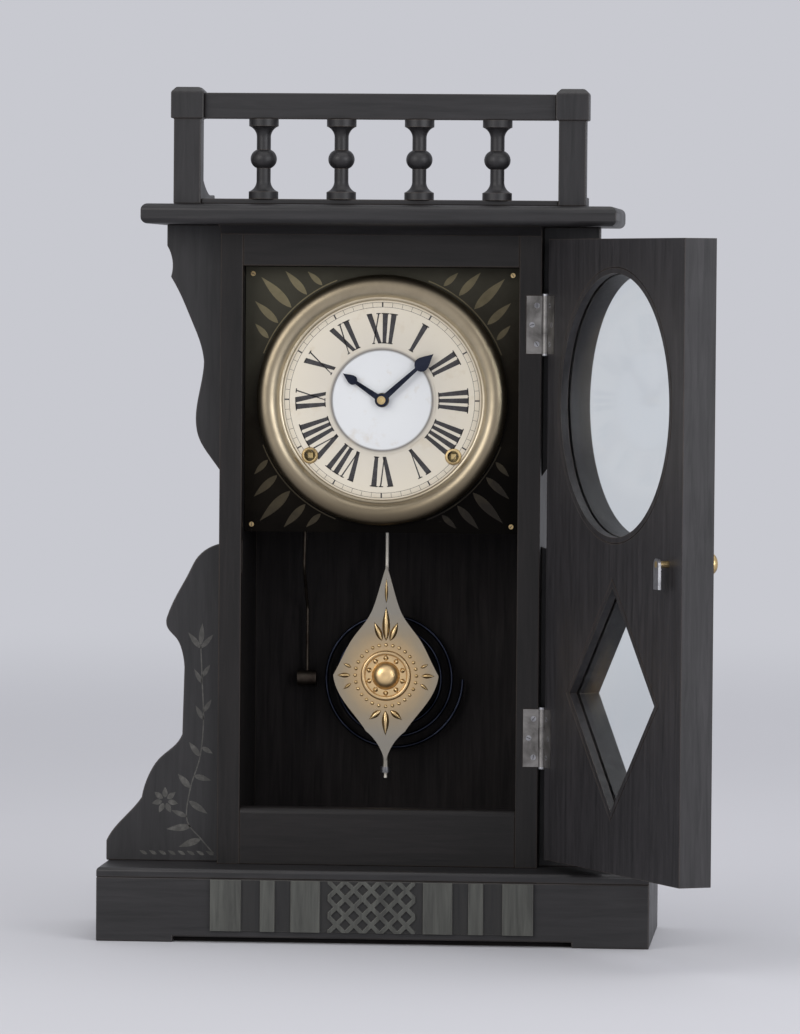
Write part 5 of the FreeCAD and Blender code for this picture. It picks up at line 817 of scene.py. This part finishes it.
def dome(form, centre, radius, rise, steps=12, rings=4):
    """A low round bead that stands on a face towards the front. The centre is (x, y, z)."""
    x, y, z = centre
    rows = []
    for ring in range(rings):
        slope = math.pi / 2 * ring / rings
        level = y - rise * math.sin(slope)
        places = [around(radius * math.cos(slope), angle) for angle in angles(steps)]
        rows.append([form.verts.new((x + across, level, z + up)) for across, up in places])
    top = form.verts.new((x, y - rise, z))
    form.faces.new(rows[0])
    for lower, upper in zip(rows, rows[1:]):
        for step in range(steps):
            onward = (step + 1) % steps
            form.faces.new((lower[step], lower[onward], upper[onward], upper[step]))
    for step in range(steps):
        form.faces.new((rows[-1][step], rows[-1][(step + 1) % steps], top))


# Ornament pressed into the bob. Its foot lies a little inside the plate.
RELIEF_SINK = 0.02 * MM
BEAD_COUNT = 28
BEAD_CIRCLE = 19.5 * MM
BEAD_RADIUS = 1.15 * MM
BEAD_RISE = 0.9 * MM
PETAL_COUNT = 10
PETAL_ROOT = 9.4 * MM
PETAL_TIP = 13.2 * MM
PETAL_HALF = 1.7 * MM
PETAL_RISE = 0.8 * MM
BOB_LEAF_RISE = 0.9 * MM

# Leaves on the bob, in millimetres from its middle: start across and up, end across and up,
# and half width
BOB_LEAVES = (
    (0, 22, 0, 44, 2.6), (2.5, 22, 7.5, 34, 2.2), (-2.5, 22, -7.5, 34, 2.2), (0, 46, 0, 62, 1.1),
    (0, -22, 0, -38, 2.4), (3.0, -22, 10.5, -28, 2.0), (-3.0, -22, -10.5, -28, 2.0),
    (22.5, 0, 31, 0, 1.6), (-22.5, 0, -31, 0, 1.6), (22, 5, 27, 7.5, 1.1), (-22, 5, -27, 7.5, 1.1),
    (22, -5, 27, -9, 1.1), (-22, -5, -27, -9, 1.1))


def on_bob(across, up):
    """A place on the bob, from its middle."""
    return across, BOB_Z + up


def make_bob_relief():
    """Pressed ornament on the bob: a ring of beads, petals round the boss and leaves to the points."""
    front = BOB_FRONT + RELIEF_SINK

    def fill(form):
        for angle in angles(BEAD_COUNT):
            x, z = on_bob(*around(BEAD_CIRCLE, angle))
            dome(form, (x, front, z), BEAD_RADIUS, BEAD_RISE)
        for angle in angles(PETAL_COUNT):
            root = on_bob(*around(PETAL_ROOT, angle))
            tip = on_bob(*around(PETAL_TIP, angle))
            raised_leaf(form, root, tip, PETAL_HALF, front, PETAL_RISE)
        for x0, z0, x1, z1, half in BOB_LEAVES:
            raised_leaf(form, on_bob(x0 * MM, z0 * MM), on_bob(x1 * MM, z1 * MM), half * MM, front,
                        BOB_LEAF_RISE)

    smooth(add_piece("bob_relief", fill, "bob", bob_gilt))


# Sprays on the wings, in millimetres: outward from the middle of the clock, and up.
# Leaves are start, end and half width. The border's leaves stand in a row at the foot.
SPRAY_STEM = [(104, 51), (112, 60), (121, 72), (119, 92), (113, 112), (111, 135), (112, 160), (113, 182)]
SPRAY_STEM_WIDTH = 0.8 * MM
SPRAY_LEAVES = [
    (112, 60, 126, 55, 2.2), (118, 68, 134, 66, 2.2), (121, 74, 131, 78, 1.6), (120, 84, 108, 76, 2.0),
    (119, 92, 127, 101, 2.0), (117, 100, 106, 97, 1.8), (113, 112, 120, 121, 1.8),
    (112, 118, 105, 114, 1.5), (111, 135, 116, 144, 1.5), (111, 140, 106, 148, 1.4),
    (112, 158, 117, 167, 1.4), (112, 162, 107, 170, 1.4), (113, 180, 121, 190, 1.7),
    (113, 182, 112, 196, 1.7), (113, 180, 105, 189, 1.5)]
FLOWER_CENTRE = (135.0, 84.0)
FLOWER_PETALS = 7
FLOWER_ROOT = 1.8
FLOWER_TIP = 8.5
FLOWER_HALF = 1.7 * MM
BORDER_PLACES = range(104, 152, 6)
BORDER_LENGTH = 5
BORDER_FOOT = 50.0
BORDER_HEAD = 52.5
BORDER_HALF = 1.0 * MM


def make_wing_sprays():
    """A flowering stem and a border of leaves, painted on both lower wings."""
    face = WING_FRONT - PRINT_WALL

    def fill(form):
        for side in (-1, 1):
            stem = [(side * x * MM, z * MM) for x, z in SPRAY_STEM]
            ribbon(form, curve(stem), SPRAY_STEM_WIDTH, face, WING_FRONT)
            for x0, z0, x1, z1, half in SPRAY_LEAVES:
                leaf(form, (side * x0 * MM, z0 * MM), (side * x1 * MM, z1 * MM), half * MM,
                     face, WING_FRONT)
            centre = Vector((side * FLOWER_CENTRE[0] * MM, FLOWER_CENTRE[1] * MM))
            for angle in angles(FLOWER_PETALS):
                way = Vector(around(1.0, angle))
                leaf(form, centre + way * FLOWER_ROOT * MM, centre + way * FLOWER_TIP * MM, FLOWER_HALF,
                     face, WING_FRONT)
            for place in BORDER_PLACES:
                leaf(form, (side * place * MM, BORDER_FOOT * MM),
                     (side * (place + BORDER_LENGTH) * MM, BORDER_HEAD * MM), BORDER_HALF,
                     face, WING_FRONT)

    add_piece("wing_sprays", fill, "case", spray_paint)


# Flat screw heads: radius and rise for each kind, and their slots as shares of the radius
HINGE_SCREW = (1.7 * MM, 0.07 * MM)
DIAL_SCREW = (1.5 * MM, 0.5 * MM)
BACK_SCREW = (3.0 * MM, 0.9 * MM)
SCREW_STEPS = 16
SLOT_LENGTH_SHARE = 0.85
SLOT_WIDTH_SHARE = 0.13
SLOT_WALL = 0.02 * MM
FIRST_TURN = 0.6
EACH_TURN = 1.3

# Where the screws stand: on a hinge leaf, across from the axis and up from the leaf's middle, in
# millimetres, and else from the edges of the plate or board
HINGE_SCREW_PLACES = ((-5.5, -12), (-8.5, 0), (-5.5, 12))
LEAF_HALF_HEIGHT = 18 * MM
DIAL_SCREW_INSET = 4.5 * MM
BACK_SCREW_INSET = 7 * MM
BACK_SCREW_SHARES = (0.06, 0.35, 0.65, 0.94)
TO_FRONT = Vector((0, -1, 0))
TO_BACK = Vector((0, 1, 0))


def small_plate(form, outline, place, facing, turn, low, high):
    """A small plate that stands on a face, between two heights above it."""
    along = Matrix.Rotation(turn, 3, facing) @ facing.orthogonal().normalized()
    across = facing.cross(along)
    rows = [[form.verts.new(place + along * u + across * v + facing * level) for u, v in outline]
            for level in (low, high)]
    form.faces.new(rows[0][::-1])
    form.faces.new(rows[1])
    for index in range(len(outline)):
        form.faces.new((rows[0][index - 1], rows[0][index], rows[1][index], rows[1][index - 1]))


def make_screws(name, body, places, size, finish):
    """Screw heads on faces, each turned another way, and their slots as thin dark strips on them."""
    radius, rise = size
    head = [(radius * math.cos(angle), radius * math.sin(angle)) for angle in angles(SCREW_STEPS)]
    long = radius * SLOT_LENGTH_SHARE
    wide = radius * SLOT_WIDTH_SHARE
    slot = [(-long, -wide), (long, -wide), (long, wide), (-long, wide)]

    def plates(outline, low, high):
        def fill(form):
            for index, (place, facing) in enumerate(places):
                turn = FIRST_TURN + EACH_TURN * index
                small_plate(form, outline, place, facing, turn, low, high)
        return fill

    add_piece(name, plates(head, 0.0, rise), body, finish)
    add_piece(name + "_slots", plates(slot, rise, rise + SLOT_WALL), body, ink)


def make_hinge_screws():
    """Three screws in each leaf. Those of the door's leaves are swung open with the door."""
    leaf_low, leaf_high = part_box("hinge_case_leaves")
    swing = Matrix.Rotation(DOOR_OPEN, 3, "Z")
    axis = Vector((HINGE_X, HINGE_Y, 0))
    case_places, door_places = [], []
    for middle in (leaf_low.z + LEAF_HALF_HEIGHT, leaf_high.z - LEAF_HALF_HEIGHT):
        for x, z in HINGE_SCREW_PLACES:
            case_places.append((axis + Vector((x * MM, LEAF_GAP, middle + z * MM)), TO_FRONT))
            shut = Vector((x * MM, -LEAF_GAP, middle + z * MM))
            door_places.append((axis + swing @ shut, swing @ TO_BACK))
    make_screws("hinge_case_screws", "case", case_places, HINGE_SCREW, steel)
    make_screws("hinge_door_screws", "door", door_places, HINGE_SCREW, steel)


def make_dial_plate_screws():
    """One screw in each corner of the dial plate."""
    half = plate_high.x - DIAL_SCREW_INSET
    levels = (plate_low.z + DIAL_SCREW_INSET, plate_high.z - DIAL_SCREW_INSET)
    places = [(Vector((side * half, plate_low.y, level)), TO_FRONT) for side in (-1, 1) for level in levels]
    make_screws("dial_plate_screws", "case", places, DIAL_SCREW, brass)


def make_back_board_screws():
    """A row of screws down each side of the back board."""
    low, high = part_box("case_back_board")
    half = high.x - BACK_SCREW_INSET
    levels = [low.z + share * (high.z - low.z) for share in BACK_SCREW_SHARES]
    places = [(Vector((side * half, high.y, level)), TO_BACK) for side in (-1, 1) for level in levels]
    make_screws("back_board_screws", "case", places, BACK_SCREW, steel)


# The pale colour that lies far behind, even from every side, and the round floor that fades into it
PALE = rgb(0.577, 0.584, 0.630)
FLOOR_REACH = 7.0
FLOOR_STEPS = 48
# The floor's colours: lighter towards the right, which is painted light.
FLOOR_TONE_AND_LIGHT = ((0.0, rgb(0.50, 0.50, 0.525)), (1.0, rgb(0.60, 0.60, 0.64)))
FADE_START = 1.0
FADE_END = 3.6

# The world's light, and the lamps as name, place, size, power and colour
WORLD_COLOUR = rgb(0.82, 0.83, 0.88)
WORLD_STRENGTH = 0.80
LAMP_AIM = (0, 0, 0.25)
LAMPS = (
    ("overhead", (0.3, -0.2, 2.7), (3.0, 2.6), 34, (1.0, 0.99, 0.97)),
    ("front_left", (-2.0, -2.8, 1.4), (1.8, 1.8), 44, (1.0, 0.98, 0.95)),
    ("front_right", (2.3, -2.6, 0.9), (1.8, 1.8), 46, (0.97, 0.98, 1.0)),
)


def seen_rays(tree):
    """1 for what the camera, metal and glass see, and 0 for the light that falls on things."""
    path = tree.nodes.new("ShaderNodeLightPath")
    share = path.outputs["Is Camera Ray"]
    for label in ("Is Glossy Ray", "Is Transmission Ray"):
        either = tree.nodes.new("ShaderNodeMath")
        either.operation = "MAXIMUM"
        tree.links.new(share, either.inputs[0])
        tree.links.new(path.outputs[label], either.inputs[1])
        share = either.outputs["Value"]
    return share


def blend_shaders(tree, factor, first, second, output):
    """Mixes two shaders by a factor and joins the mix to the tree's output."""
    blend = tree.nodes.new("ShaderNodeMixShader")
    tree.links.new(factor, blend.inputs[0])
    tree.links.new(first, blend.inputs[1])
    tree.links.new(second, blend.inputs[2])
    tree.links.new(blend.outputs["Shader"], tree.nodes[output].inputs["Surface"])


def make_paper():
    """Pale paper, lighter towards the right as painted light, which turns into the even background further
    out.
    """
    graph = Graph("pale_paper")
    cloud = graph.noise(graph.place(), scale=1.5, detail=2.0)
    # Painted light: lighter towards the right, with clouds of tone at random.
    share = graph.weighed(0.0, (graph.parts()["X"], 0.35), (cloud, 0.3))
    graph.colour(graph.ramp(share, FLOOR_TONE_AND_LIGHT))
    graph.set(rough=0.9)
    length = graph.add("ShaderNodeVectorMath", operation="LENGTH")
    graph.join(graph.place(), length.inputs[0])
    fade = graph.reached(length.outputs["Value"], FADE_START, FADE_END, kind="SMOOTHSTEP")
    even = graph.add("ShaderNodeEmission")
    even.inputs["Color"].default_value = PALE
    blend_shaders(graph.tree, graph.calc("MULTIPLY", fade, seen_rays(graph.tree)),
                  graph.shader.outputs["BSDF"], even.outputs["Emission"], "Material Output")
    return graph.material


def make_floor():
    """A pale round floor that fades into the even background."""
    def fill(form):
        middle = form.verts.new((0, 0, 0))
        rim = [form.verts.new((*around(FLOOR_REACH, angle), 0)) for angle in angles(FLOOR_STEPS)]
        for index in range(FLOOR_STEPS):
            form.faces.new((middle, rim[index], rim[index - 1]))

    floor = bpy.data.objects.new("floor", mesh_from("floor", fill))
    scene.collection.objects.link(floor)
    floor.data.materials.append(make_paper())


def make_world():
    """Soft light from all round, behind which the even background is seen."""
    world = bpy.data.worlds.new("pale_world")
    world.use_nodes = True
    tree = world.node_tree
    back = tree.nodes["Background"]
    back.inputs["Color"].default_value = WORLD_COLOUR
    back.inputs["Strength"].default_value = WORLD_STRENGTH
    far = tree.nodes.new("ShaderNodeBackground")
    far.inputs["Color"].default_value = PALE
    blend_shaders(tree, seen_rays(tree), back.outputs["Background"], far.outputs["Background"],
                  "World Output")
    scene.world = world


def make_lamps():
    """Broad lamps that aim at the clock and aren't seen themselves."""
    for name, place, size, power, colour in LAMPS:
        lamp = bpy.data.lights.new(name, "AREA")
        lamp.shape = "RECTANGLE"
        lamp.size, lamp.size_y = size
        lamp.energy = power
        lamp.color = colour
        holder = bpy.data.objects.new(name, lamp)
        holder.location = place
        holder.rotation_mode = "QUATERNION"
        holder.rotation_quaternion = (Vector(LAMP_AIM) - Vector(place)).to_track_quat("-Z", "Y")
        holder.visible_camera = False
        scene.collection.objects.link(holder)


def make_camera():
    """A camera at the photograph's viewing angle."""
    lens = bpy.data.cameras.new("camera")
    lens.sensor_width = SENSOR_MM
    lens.lens = FOCAL_PX / PHOTO_HEIGHT_PX * SENSOR_MM
    lens.clip_start = CLIP_START
    lens.clip_end = CLIP_END
    eye = bpy.data.objects.new("camera", lens)
    scene.collection.objects.link(eye)
    yaw = CAMERA_AROUND + CAMERA_AIM
    level = Vector((-math.sin(yaw), math.cos(yaw), 0))
    right = Vector((math.cos(yaw), math.sin(yaw), 0))
    up = Vector((0, 0, 1))
    forward = level * math.cos(CAMERA_PITCH) + up * math.sin(CAMERA_PITCH)
    upward = up * math.cos(CAMERA_PITCH) - level * math.sin(CAMERA_PITCH)
    side = right * math.cos(CAMERA_ROLL) + upward * math.sin(CAMERA_ROLL)
    head = upward * math.cos(CAMERA_ROLL) - right * math.sin(CAMERA_ROLL)
    place = Vector((CAMERA_DISTANCE * math.sin(CAMERA_AROUND),
                    CAMERA_CENTRE_Y - CAMERA_DISTANCE * math.cos(CAMERA_AROUND), CAMERA_HEIGHT))
    turn = Matrix((side, head, -forward)).transposed().to_4x4()
    eye.matrix_world = Matrix.Translation(place) @ turn
    scene.camera = eye


finish_nodes()
bevel_boards()
make_numerals()
make_minute_track()
make_spandrels()
make_sight_ring()
make_bob_relief()
make_wing_sprays()
make_hinge_screws()
make_dial_plate_screws()
make_back_board_screws()
make_floor()
make_world()
make_lamps()
make_camera()
scene.view_settings.view_transform = "Standard"
